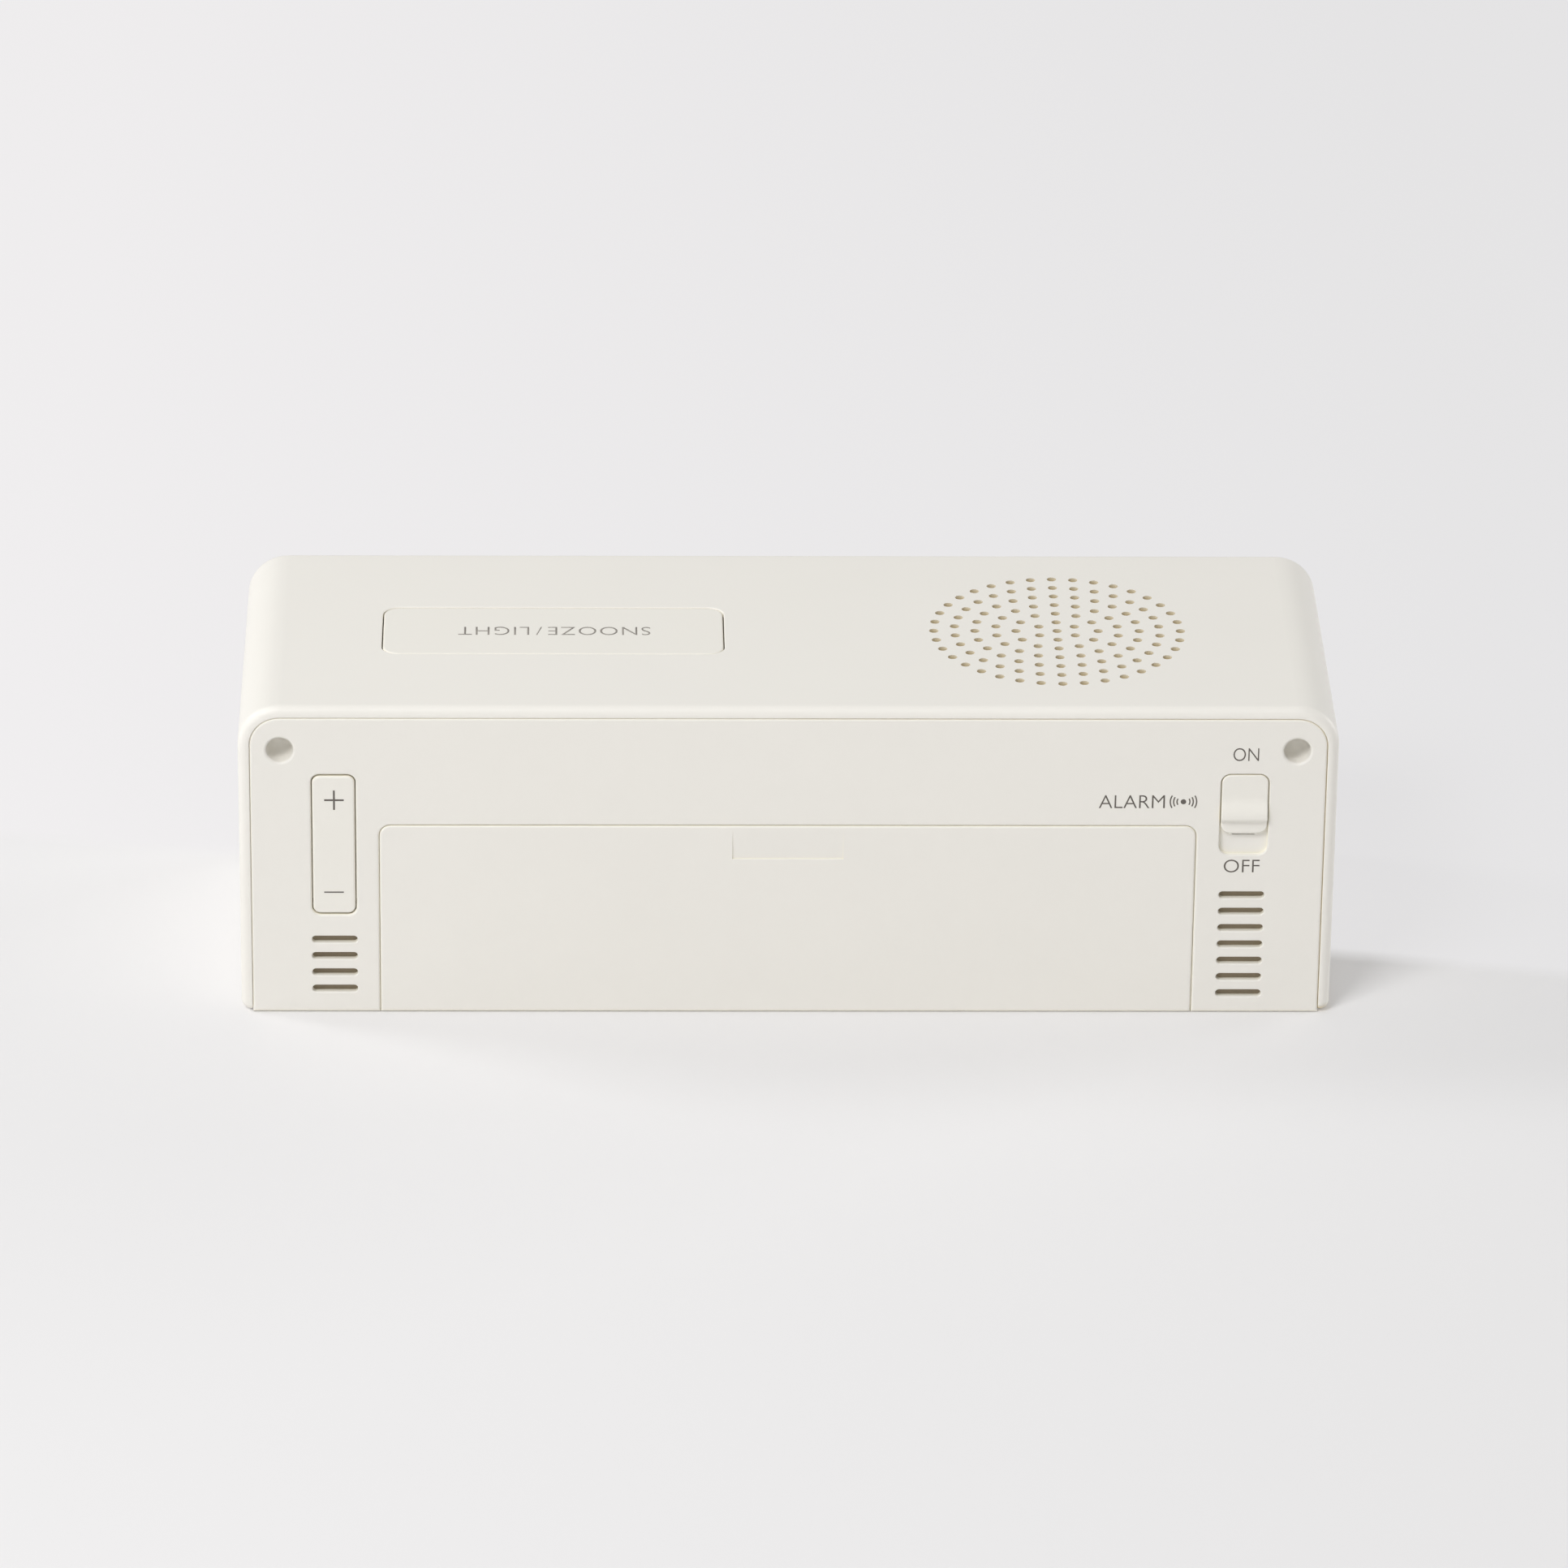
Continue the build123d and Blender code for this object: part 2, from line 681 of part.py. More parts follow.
last_cell_end = first_cell_end - 2 * cell_length
with BuildPart() as contact_leaf:
    leaf_wall = -bay_half_length + slip + contact_sheet / 2
    leaf_tip = last_cell_end - contact_sheet / 2
    leaf_low = cell_z - contact_height / 2
    leaf_high = cell_z + contact_height / 2
    with BuildSketch(facing_front(cell_y + contact_width / 2)):
        with BuildLine():
            Line((leaf_wall, leaf_high), (leaf_wall, leaf_low))
            ThreePointArc((leaf_wall, leaf_low), (leaf_tip, cell_z),
                          (leaf_wall + 2 * contact_sheet, leaf_high))
        trace(line_width=contact_sheet)
    extrude(amount=contact_width)
contact_leaf.part.label = "contact_leaf"

# Snooze bar: a hollow cap, flanged under the top wall, with a plunger over its switch
stem_top = push_switch_top + push_stem_proud
with BuildPart() as snooze_bar:
    with BuildSketch(Plane.XY.offset(snooze_top)):
        with Locations((snooze_x, snooze_y)):
            RectangleRounded(snooze_length, snooze_width, snooze_corner)
    extrude(amount=snooze_flange_top - snooze_top)
    fillet(snooze_bar.faces().sort_by(Axis.Z)[-1].edges(), snooze_break)
    with BuildSketch(Plane.XY.offset(snooze_flange_top)):
        with Locations((snooze_x, snooze_y)):
            RectangleRounded(snooze_length + 2 * snooze_flange, snooze_width + 2 * snooze_flange,
                             snooze_corner)
    extrude(amount=-snooze_flange_thickness)
    with BuildSketch(Plane.XY.offset(snooze_top - snooze_skin)):
        with Locations((snooze_x, snooze_y)):
            RectangleRounded(snooze_length - 2 * snooze_skirt, snooze_width - 2 * snooze_skirt, edge_break)
    extrude(amount=-case_wall - snooze_flange_thickness, mode=Mode.SUBTRACT)
    with BuildSketch(Plane.XY.offset(stem_top)):
        with Locations((snooze_x, snooze_y)):
            Rectangle(snooze_skirt, snooze_width - 2 * snooze_skirt)
            Circle(push_stem_radius + snooze_skirt / 2)
    extrude(amount=snooze_top - snooze_skin - stem_top)
snooze_bar.part.label = "snooze_bar"

with BuildPart() as snooze_board:
    with BuildSketch(Plane.XY.offset(snooze_board_top - slip)):
        with Locations((snooze_x, snooze_y)):
            Rectangle(2 * (snooze_post_spread + snooze_board_margin), snooze_board_width)
        with Locations(*snooze_posts):
            Circle(board_hole_radius, mode=Mode.SUBTRACT)
    extrude(amount=-board_thickness)
snooze_board.part.label = "snooze_board"

with BuildPart() as snooze_switch:
    with BuildSketch(Plane.XY.offset(snooze_board_top - slip)):
        with Locations((snooze_x, snooze_y)):
            Rectangle(push_switch_size, push_switch_size)
    extrude(amount=push_switch_height + slip)
    with BuildSketch(Plane.XY.offset(push_switch_top)):
        with Locations((snooze_x, snooze_y)):
            Circle(push_stem_radius + 2 * slip)
    extrude(amount=-2 * snooze_travel, mode=Mode.SUBTRACT)
snooze_switch.part.label = "snooze_switch"

with BuildPart() as snooze_stem:
    with BuildSketch(Plane.XY.offset(stem_top)):
        with Locations((snooze_x, snooze_y)):
            Circle(push_stem_radius)
    extrude(amount=-push_stem_proud - snooze_travel / 2)
snooze_stem.part.label = "snooze_stem"

with BuildPart() as snooze_screws:
    add_screws(Plane.XY.offset(snooze_board_top - slip - board_thickness), snooze_posts, screw_head_radius,
               -screw_head_height, board_thickness + screw_bite)
snooze_screws.part.label = "snooze_screws"

# Plus/minus key with pins, and a foot over each of its two switches
key_switches_z = [key_z + side * key_switch_spread for side in sides]
key_switch_top = board_rear + key_switch_height
key_foot_end = key_switch_top + key_stem_proud
with BuildPart() as plus_minus_key:
    with BuildSketch(facing_front(rear)):
        with Locations((key_x, key_z)):
            RectangleRounded(key_width, key_height, key_corner)
    extrude(amount=key_thickness)
    fillet(rear_break(plus_minus_key, edge_break), key_break)
    # Flanges behind the cover that close the view past the key, narrower between the ears
    flange_rear = rear_seat - key_flange_drop
    flange_high = key_height / 2 - key_corner
    shoulder_half = key_opening_width / 2 - slip
    block((key_x - shoulder_half, key_inner, key_z - flange_high),
          (key_x + shoulder_half, flange_rear, key_z + flange_high))
    for side in sides:
        for end in sides:
            block((key_x, key_inner, key_z + end * key_flange_notch),
                  (key_x + side * (key_width / 2 + key_flange), flange_rear, key_z + end * flange_high))
    # Web down to the pins, narrow enough to pass between the ears
    pin_half = key_pin_radius + key_ear_wall
    block((key_x - shoulder_half, key_pin_y - key_pin_radius, key_z - pin_half),
          (key_x + shoulder_half, key_inner, key_z + pin_half))
    with BuildSketch(Plane.YZ.offset(key_x - key_pin_half)):
        with Locations((key_pin_y, key_z)):
            Circle(key_pin_radius)
    extrude(amount=2 * key_pin_half)
    with BuildSketch(facing_front(key_inner)):
        with Locations(*[(key_x, height) for height in key_switches_z]):
            Circle(key_foot_radius)
    extrude(amount=key_inner - key_foot_end)
plus_minus_key.part.label = "plus_minus_key"

with BuildPart() as key_stems:
    with BuildSketch(facing_front(key_foot_end)):
        with Locations(*[(key_x, height) for height in key_switches_z]):
            Circle(key_stem_radius)
    extrude(amount=key_stem_proud + key_stem_sunk)
key_stems.part.label = "key_stems"

with BuildPart() as key_switches:
    with BuildSketch(facing_front(key_switch_top)):
        with Locations(*[(key_x, height) for height in key_switches_z]):
            Rectangle(key_switch_size, key_switch_size)
    extrude(amount=key_switch_height)
    with BuildSketch(facing_front(key_switch_top)):
        with Locations(*[(key_x, height) for height in key_switches_z]):
            Circle(key_stem_radius + key_stem_clearance)
    extrude(amount=key_stem_sunk + key_stem_room, mode=Mode.SUBTRACT)
key_switches.part.label = "key_switches"

with BuildPart() as key_board:
    board_low = key_post_heights[0] - control_post_radius
    board_high = key_post_heights[1] + control_post_radius
    with BuildSketch(facing_front(board_rear)):
        with Locations((key_x, (board_low + board_high) / 2)):
            Rectangle(control_board_width, board_high - board_low)
        with Locations(*[(key_x, height) for height in key_post_heights]):
            Circle(board_hole_radius, mode=Mode.SUBTRACT)
    extrude(amount=board_thickness)
key_board.part.label = "key_board"

# Alarm knob: a plate in the recess with a ramped ridge, and a neck that grips the switch lever
slide_top = board_rear + slide_switch_depth
neck_end = slide_top + slip
with BuildPart() as alarm_knob:
    with BuildSketch(Plane.YZ.offset(alarm_x - recess_width / 2 + knob_gap)):
        ridge_foot = (rear, knob_low + ridge_foot_share * knob_height)
        ridge_peak = (rear + knob_proud, knob_low + ridge_peak_share * knob_height)
        ridge_head = (rear, knob_low + ridge_head_share * knob_height)
        with BuildLine():
            Polyline(ridge_head, (rear, knob_high), (knob_inner, knob_high), (knob_inner, knob_low),
                     (rear, knob_low), ridge_foot)
            Spline(ridge_foot, ridge_peak, tangents=[(0, 1), (0, 1)])
            Spline(ridge_peak, ridge_head, tangents=[(0, 1), (0, 1)])
        make_face()
    extrude(amount=recess_width - 2 * knob_gap)
    knob_corners = alarm_knob.edges().filter_by(Axis.Y).group_by(Axis.Z)
    fillet(knob_corners[0] + knob_corners[-1], knob_corner)
    # The break runs on from the knob's upper edge all round its rim
    fillet(alarm_knob.faces().sort_by(Axis.Z)[-1].edges().sort_by(Axis.Y)[-1], knob_break)
    with BuildSketch(facing_front(knob_inner)):
        with Locations((alarm_x, knob_z)):
            Rectangle(knob_neck_width, knob_neck_height)
    extrude(amount=knob_inner - neck_end)
    with BuildSketch(facing_front(neck_end)):
        with Locations((alarm_x, knob_z)):
            Rectangle(lever_width + 2 * lever_clearance, lever_height + 2 * lever_clearance)
    extrude(amount=-lever_overlap - lever_clearance, mode=Mode.SUBTRACT)
alarm_knob.part.label = "alarm_knob"

with BuildPart() as switch_lever:
    with BuildSketch(facing_front(neck_end + lever_overlap)):
        with Locations((alarm_x, knob_z)):
            Rectangle(lever_width, lever_height)
    extrude(amount=lever_overlap + slip + lever_sunk)
switch_lever.part.label = "switch_lever"

with BuildPart() as slide_switch:
    with BuildSketch(facing_front(slide_top)):
        with Locations((alarm_x, neck_slot_z)):
            Rectangle(slide_switch_width, slide_switch_height)
    extrude(amount=slide_switch_depth)
    with BuildSketch(facing_front(slide_top)):
        with Locations((alarm_x, neck_slot_z)):
            Rectangle(lever_width + 2 * lever_room, lever_height + knob_travel + 2 * lever_room)
    extrude(amount=lever_sunk + lever_room, mode=Mode.SUBTRACT)
slide_switch.part.label = "slide_switch"

with BuildPart() as alarm_board:
    alarm_board_high = alarm_post_heights[1] + control_post_radius
    alarm_board_low = underside + alarm_board_rise
    with BuildSketch(facing_front(board_rear)):
        with Locations((alarm_x, (alarm_board_low + alarm_board_high) / 2)):
            Rectangle(control_board_width, alarm_board_high - alarm_board_low)
        with Locations(*[(alarm_x, height) for height in alarm_post_heights]):
            Circle(board_hole_radius, mode=Mode.SUBTRACT)
    extrude(amount=board_thickness)
alarm_board.part.label = "alarm_board"

with BuildPart() as climate_sensor:
    with BuildSketch(facing_front(board_rear)):
        with Locations((alarm_x, underside + sensor_rise)):
            Rectangle(sensor_size, sensor_size)
            Circle(sensor_port_radius, mode=Mode.SUBTRACT)
    extrude(amount=-sensor_height)
climate_sensor.part.label = "climate_sensor"

with BuildPart() as control_screws:
    add_screws(facing_front(board_front), control_posts, screw_head_radius, screw_head_height,
               board_thickness + screw_bite)
control_screws.part.label = "control_screws"

# Speaker: cloth, pressed frame, cone with dust cap, magnet
speaker_axis = Axis((grille_x, grille_y, 0), (0, 0, 1))
speaker_plane = Plane(origin=(grille_x, grille_y, 0), x_dir=(1, 0, 0), z_dir=(0, -1, 0))
flange_low = speaker_top - speaker_flange_thickness
basket_low = speaker_low + magnet_height
magnet_radius = magnet_diameter / 2
cone_radius = speaker_radius - speaker_flange_width
with BuildPart() as grille_cloth:
    with BuildSketch(Plane.XY.offset(speaker_top + slip)):
        with Locations((grille_x, grille_y)):
            Circle(speaker_radius)
    extrude(amount=grille_cloth_thickness)
grille_cloth.part.label = "grille_cloth"

with BuildPart() as speaker_frame:
    with BuildSketch(speaker_plane):
        with BuildLine():
            Polyline((cone_radius, speaker_top), (speaker_radius, speaker_top),
                     (speaker_radius, flange_low), (cone_radius, flange_low),
                     (magnet_radius, basket_low), (0, basket_low), (0, basket_low + speaker_sheet),
                     (magnet_radius - speaker_sheet, basket_low + speaker_sheet),
                     (cone_radius - speaker_sheet, flange_low), (cone_radius, flange_low + speaker_sheet),
                     close=True)
        make_face()
    revolve(axis=speaker_axis)
speaker_frame.part.label = "speaker_frame"

with BuildPart() as speaker_cone:
    cone_rim = cone_radius - slip
    cap_radius = cap_diameter / 2
    cone_low = speaker_top - cone_depth
    dome_radius = (cap_radius**2 + cap_rise**2) / (2 * cap_rise)
    dome_lean = asin(cap_radius / dome_radius) / 2
    dome_drop = dome_radius * (1 - cos(dome_lean))
    dome_middle = Vector(dome_radius * sin(dome_lean), cone_low + cap_rise - dome_drop)
    sheet = Vector(0, cone_sheet)
    rim_edge = Vector(cone_rim, speaker_top)
    cap_edge = Vector(cap_radius, cone_low)
    cap_peak = Vector(0, cone_low + cap_rise)
    with BuildSketch(speaker_plane):
        with BuildLine():
            Line(rim_edge, cap_edge)
            ThreePointArc(cap_edge, dome_middle, cap_peak)
            Line(cap_peak, cap_peak - sheet)
            ThreePointArc(cap_peak - sheet, dome_middle - sheet, cap_edge - sheet)
            Line(cap_edge - sheet, rim_edge - sheet)
            Line(rim_edge - sheet, rim_edge)
        make_face()
    revolve(axis=speaker_axis)
speaker_cone.part.label = "speaker_cone"

with BuildPart() as speaker_magnet:
    with BuildSketch(Plane.XY.offset(speaker_low)):
        with Locations((grille_x, grille_y)):
            Circle(magnet_radius)
    extrude(amount=magnet_height)
    chamfer(speaker_magnet.edges().group_by(Axis.Z)[0], edge_break)
speaker_magnet.part.label = "speaker_magnet"

# Front bezel with a stepped window for the lens, and posts for the display stack
lens_half = window_half + lens_border
lens_low = window_low - lens_border / 2
lens_high = window_high + lens_border / 2
lens_ledge = front + lens_thickness + lens_gap
with BuildPart() as front_bezel:
    with BuildSketch(facing_front(front_seat)):
        add(upright_outline(cover_half, panel_low + seam_gap, cover_high, panel_corner - seam_gap))
        add(upright_outline(window_half, window_low, window_high, window_corner, window_corner),
            mode=Mode.SUBTRACT)
    extrude(amount=panel_thickness)
    outer_edges = front_bezel.faces().sort_by(Axis.Y)[0].outer_wire().edges()
    fillet(outer_edges, seam_break)
    with BuildSketch(facing_front(lens_ledge)):
        add(upright_outline(lens_half + lens_gap, lens_low - lens_gap, lens_high + lens_gap,
                            lens_corner, lens_corner))
    extrude(amount=lens_ledge - front, mode=Mode.SUBTRACT)
    with BuildSketch(facing_front(front_seat)):
        with Locations(*display_posts):
            Circle(display_post_radius)
    extrude(amount=front_seat - main_board_front)
    with BuildSketch(facing_front(main_board_front)):
        with Locations(*display_posts):
            Circle(pilot_radius)
    extrude(amount=screw_bite + slip, mode=Mode.SUBTRACT)
front_bezel.part.label = "front_bezel"

with BuildPart() as display_lens:
    with BuildSketch(facing_front(lens_ledge)):
        add(upright_outline(lens_half, lens_low, lens_high, lens_corner - lens_gap, lens_corner - lens_gap))
    extrude(amount=lens_thickness)
    fillet(display_lens.faces().sort_by(Axis.Y)[0].edges(), edge_break)
display_lens.part.label = "display_lens"

with BuildPart() as lcd_panel:
    with BuildSketch(facing_front(glass_joint)):
        add(upright_outline(glass_half, glass_low, glass_high))
    extrude(amount=glass_thickness)
    with BuildSketch(facing_front(glass_rear)):
        add(upright_outline(glass_half, glass_low - glass_ledge, glass_high))
    extrude(amount=glass_thickness)
lcd_panel.part.label = "lcd_panel"

with BuildPart() as light_guide:
    with BuildSketch(facing_front(guide_rear)):
        add(upright_outline(glass_half - slip, glass_low, glass_high - slip))
    extrude(amount=light_guide_thickness)
light_guide.part.label = "light_guide"

lamp_z = (glass_low + glass_high) / 2
with BuildPart() as backlight_lamps:
    for side in sides:
        block((side * (glass_half + slip), glass_rear + slip, lamp_z - lamp_width / 2),
              (side * (glass_half + slip + lamp_length), main_board_front, lamp_z + lamp_width / 2))
backlight_lamps.part.label = "backlight_lamps"

with BuildPart() as contact_strip:
    strip_low = glass_low - glass_ledge + slip
    block((strip_inset - glass_half, glass_rear, strip_low),
          (glass_half - strip_inset, main_board_front, strip_low + strip_width))
contact_strip.part.label = "contact_strip"

with BuildPart() as display_holder:
    with BuildSketch(facing_front(guide_rear)):
        add(upright_outline(holder_half, holder_low, holder_high))
        add(upright_outline(glass_half + slip, glass_low - glass_ledge - slip, glass_high + slip),
            mode=Mode.SUBTRACT)
        for side in sides:
            with Locations((side * (glass_half + slip), lamp_z)):
                Rectangle(2 * (lamp_length + slip), lamp_width + 2 * slip, mode=Mode.SUBTRACT)
        with Locations(*display_posts):
            Circle(display_post_radius + slip, mode=Mode.SUBTRACT)
    extrude(amount=guide_rear - glass_front)
display_holder.part.label = "display_holder"

with BuildPart() as main_board:
    with BuildSketch(facing_front(main_board_rear)):
        add(upright_outline(holder_half, holder_low, holder_high))
        with Locations(*display_posts):
            Circle(board_hole_radius, mode=Mode.SUBTRACT)
    extrude(amount=board_thickness)
main_board.part.label = "main_board"

with BuildPart() as board_screws:
    add_screws(facing_front(main_board_rear), display_posts, screw_head_radius, -screw_head_height,
               board_thickness + screw_bite)
board_screws.part.label = "board_screws"

with BuildPart() as controller_chip:
    with BuildSketch(facing_front(main_board_rear)):
        with Locations((0, lamp_z)):
            RectangleRounded(chip_size, chip_size, chip_corner)
    extrude(amount=-chip_height)
controller_chip.part.label = "controller_chip"

with BuildPart() as quartz_crystal:
    with BuildSketch(Plane.YZ.offset(chip_size)):
        with Locations((main_board_rear + crystal_radius, lamp_z)):
            Circle(crystal_radius)
    extrude(amount=crystal_length)
quartz_crystal.part.label = "quartz_crystal"

with BuildPart() as capacitors:
    with BuildSketch(facing_front(main_board_rear)):
        with Locations((-chip_size, lamp_z), (-chip_size - capacitor_spread, lamp_z)):
            Circle(capacitor_radius)
    extrude(amount=-capacitor_height)
    fillet(capacitors.edges().group_by(Axis.Y)[-1], capacitor_edge)
capacitors.part.label = "capacitors"

pieces = [case_sleeve, rubber_feet, rear_cover, case_screws, battery_door, contact_plate, contact_leaf,
          snooze_bar, snooze_board, snooze_switch, snooze_stem, snooze_screws, plus_minus_key, key_stems,
          key_switches, key_board, alarm_knob, switch_lever, slide_switch, alarm_board, climate_sensor,
          control_screws, grille_cloth, speaker_frame, speaker_cone, speaker_magnet, front_bezel,
          display_lens, lcd_panel, light_guide, backlight_lamps, contact_strip, display_holder, main_board,
          board_screws, controller_chip, quartz_crystal, capacitors]
os.makedirs("parts", exist_ok=True)
for solid in [piece.part for piece in pieces] + cells:
    export_step(solid, f"parts/{solid.label}.step")
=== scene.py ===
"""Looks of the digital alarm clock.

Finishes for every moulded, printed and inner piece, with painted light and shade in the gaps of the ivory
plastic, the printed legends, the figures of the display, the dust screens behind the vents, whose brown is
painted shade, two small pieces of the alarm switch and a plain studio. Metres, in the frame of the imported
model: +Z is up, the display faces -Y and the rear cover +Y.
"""

import logging
import math
from dataclasses import dataclass, field
from enum import Enum
from functools import lru_cache

import bmesh
import bpy
from mathutils import Matrix, Vector


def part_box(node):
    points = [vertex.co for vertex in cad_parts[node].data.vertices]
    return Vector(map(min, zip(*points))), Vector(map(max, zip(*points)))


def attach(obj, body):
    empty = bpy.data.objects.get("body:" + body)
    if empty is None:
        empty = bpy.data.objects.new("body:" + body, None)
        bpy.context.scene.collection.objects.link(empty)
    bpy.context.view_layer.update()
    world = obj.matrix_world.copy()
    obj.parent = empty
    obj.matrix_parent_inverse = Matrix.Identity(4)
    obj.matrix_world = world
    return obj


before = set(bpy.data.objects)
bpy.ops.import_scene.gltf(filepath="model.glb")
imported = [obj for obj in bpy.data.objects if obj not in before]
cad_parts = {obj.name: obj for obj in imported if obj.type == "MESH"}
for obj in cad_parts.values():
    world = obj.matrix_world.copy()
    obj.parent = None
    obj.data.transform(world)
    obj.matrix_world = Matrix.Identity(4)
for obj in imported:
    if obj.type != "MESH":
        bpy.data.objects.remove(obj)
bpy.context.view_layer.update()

log = logging.getLogger("clock")
MM = 0.001
Colour = tuple[float, float, float]
INK_THICKNESS = 0.03 * MM
INK_SUNK = 0.01 * MM
MERGE_DISTANCE = 0.0005 * MM
FONT_MERGE = 1e-5
FONT_STEPS = 5

# The curve of screen levels
FULL_LEVEL = 255
TOE, TOE_SLOPE = 0.04045, 12.92
CURVE_OFFSET, CURVE_POWER = 0.055, 2.4

# Ranges that the noises keep to, and the settings of other shader nodes
CLOUD_LOW, CLOUD_HIGH = 0.3, 0.7
GRAIN_LOW, GRAIN_HIGH = 0.2, 0.8
GRAIN_DETAIL = 3.0
ROUGHNESS_SPREAD = 0.08
WAVE_PHASE = 20
OPENNESS_SAMPLES = 6


def shade(red: int, green: int, blue: int) -> Colour:
    """Turns a screen colour into the linear one that a shader takes.

    Args:
        red: Red, 0 to 255.
        green: Green, 0 to 255.
        blue: Blue, 0 to 255.

    Returns:
        The linear colour.
    """
    levels = [level / FULL_LEVEL for level in (red, green, blue)]
    return tuple(level / TOE_SLOPE if level <= TOE
                 else ((level + CURVE_OFFSET) / (1 + CURVE_OFFSET)) ** CURVE_POWER for level in levels)


class Facing(Enum):
    """Which way a printed piece faces: its reading direction, its up and its outward direction."""

    REAR = ((-1, 0, 0), (0, 0, 1), (0, 1, 0))
    TOP = ((1, 0, 0), (0, 1, 0), (0, 0, 1))
    FRONT = ((1, 0, 0), (0, 0, 1), (0, -1, 0))

    def matrix(self, place: Vector) -> Matrix:
        """Places a piece that was drawn flat.

        Args:
            place: Where the origin of the drawing goes.

        Returns:
            The transform from the drawing to the frame.
        """
        turn = Matrix([Vector(axis) for axis in self.value]).transposed().to_4x4()
        return Matrix.Translation(place) @ turn


class NodeSheet:
    """Shader nodes of one material, with short ways to add and join them."""

    def __init__(self, name: str) -> None:
        """Starts a material with its standard shader.

        Args:
            name: Name of the material.
        """
        self.material = bpy.data.materials.new(name)
        self.material.use_nodes = True
        tree = self.material.node_tree
        self.nodes = tree.nodes
        self.links = tree.links
        self.shader = self.nodes["Principled BSDF"]
        self.place = self.nodes.new("ShaderNodeTexCoord").outputs["Object"]

    def set(self, socket: str, value: float | Colour) -> None:
        """Sets one constant of the shader.

        Args:
            socket: Name of the shader's socket.
            value: A number, or a colour without its alpha.
        """
        self.shader.inputs[socket].default_value = (*value, 1.0) if isinstance(value, tuple) else value

    def feed(self, source: bpy.types.NodeSocket, socket: str) -> None:
        """Joins a texture to a socket of the shader.

        Args:
            source: The texture.
            socket: Name of the shader's socket.
        """
        self.links.new(source, self.shader.inputs[socket])

    def stretched(self, stretch: Colour) -> bpy.types.NodeSocket:
        """Scales the object's coordinates.

        Args:
            stretch: Scale along each axis.

        Returns:
            The scaled coordinates.
        """
        mapping = self.nodes.new("ShaderNodeMapping")
        mapping.inputs["Scale"].default_value = stretch
        self.links.new(self.place, mapping.inputs["Vector"])
        return mapping.outputs["Vector"]

    def noise(self, size: float, detail: float = 2.0, stretch: Colour | None = None) -> bpy.types.NodeSocket:
        """Adds a noise.

        Args:
            size: Size of its grains.
            detail: Octaves.
            stretch: Scale along each axis, if it isn't even.

        Returns:
            The noise, about 0.5 on average.
        """
        node = self.nodes.new("ShaderNodeTexNoise")
        node.inputs["Scale"].default_value = 1 / size
        node.inputs["Detail"].default_value = detail
        self.links.new(self.stretched(stretch) if stretch else self.place, node.inputs["Vector"])
        return node.outputs["Fac"]

    def wave(self, pitch: float, direction: str) -> bpy.types.NodeSocket:
        """Adds even ridges.

        Args:
            pitch: Distance between ridges.
            direction: X, Y or Z.

        Returns:
            The height of the ridges.
        """
        node = self.nodes.new("ShaderNodeTexWave")
        node.bands_direction = direction
        node.inputs["Scale"].default_value = 2 * math.pi / (WAVE_PHASE * pitch)
        self.links.new(self.place, node.inputs["Vector"])
        return node.outputs["Fac"]

    def axis(self, name: str) -> bpy.types.NodeSocket:
        """Gives one of the object's coordinates.

        Args:
            name: X, Y or Z.

        Returns:
            The coordinate in metres.
        """
        node = self.nodes.new("ShaderNodeSeparateXYZ")
        self.links.new(self.place, node.inputs["Vector"])
        return node.outputs[name]

    def math(self, operation: str, first: bpy.types.NodeSocket,
             second: bpy.types.NodeSocket | float) -> bpy.types.NodeSocket:
        """Adds one sum.

        Args:
            operation: Name of the Math node's operation.
            first: Its first term.
            second: Its second term.

        Returns:
            The result.
        """
        node = self.nodes.new("ShaderNodeMath")
        node.operation = operation
        self.links.new(first, node.inputs[0])
        if isinstance(second, bpy.types.NodeSocket):
            self.links.new(second, node.inputs[1])
        else:
            node.inputs[1].default_value = second
        return node.outputs["Value"]

    def span(self, value: bpy.types.NodeSocket, low: float, high: float, to_low: float,
             to_high: float) -> bpy.types.NodeSocket:
        """Maps a value from one range to another, held at both ends.

        Args:
            value: The value.
            low: Start of its range.
            high: End of its range.
            to_low: What low becomes.
            to_high: What high becomes.

        Returns:
            The mapped value.
        """
        node = self.nodes.new("ShaderNodeMapRange")
        self.links.new(value, node.inputs["Value"])
        for socket, number in zip(("From Min", "From Max", "To Min", "To Max"), (low, high, to_low, to_high)):
            node.inputs[socket].default_value = number
        return node.outputs["Result"]

    def blend(self, factor: bpy.types.NodeSocket, first: Colour | bpy.types.NodeSocket,
              second: Colour | bpy.types.NodeSocket) -> bpy.types.NodeSocket:
        """Mixes two colours.

        Args:
            factor: 0 gives the first colour and 1 the second.
            first: First colour.
            second: Second colour.

        Returns:
            The mixed colour.
        """
        node = self.nodes.new("ShaderNodeMix")
        node.data_type = "RGBA"
        self.links.new(factor, node.inputs["Factor"])
        for socket, colour in (("A", first), ("B", second)):
            target = next(item for item in node.inputs if item.name == socket and item.type == "RGBA")
            if isinstance(colour, bpy.types.NodeSocket):
                self.links.new(colour, target)
            else:
                target.default_value = (*colour, 1.0)
        return next(item for item in node.outputs if item.type == "RGBA")

    def openness(self, reach: float) -> bpy.types.NodeSocket:
        """Tells open surfaces from gaps and holes.

        Args:
            reach: How far to look for a facing surface.

        Returns:
            1 on an open surface, down to 0 deep in a narrow gap.
        """
        node = self.nodes.new("ShaderNodeAmbientOcclusion")
        node.samples = OPENNESS_SAMPLES
        node.inputs["Distance"].default_value = reach
        return node.outputs["AO"]

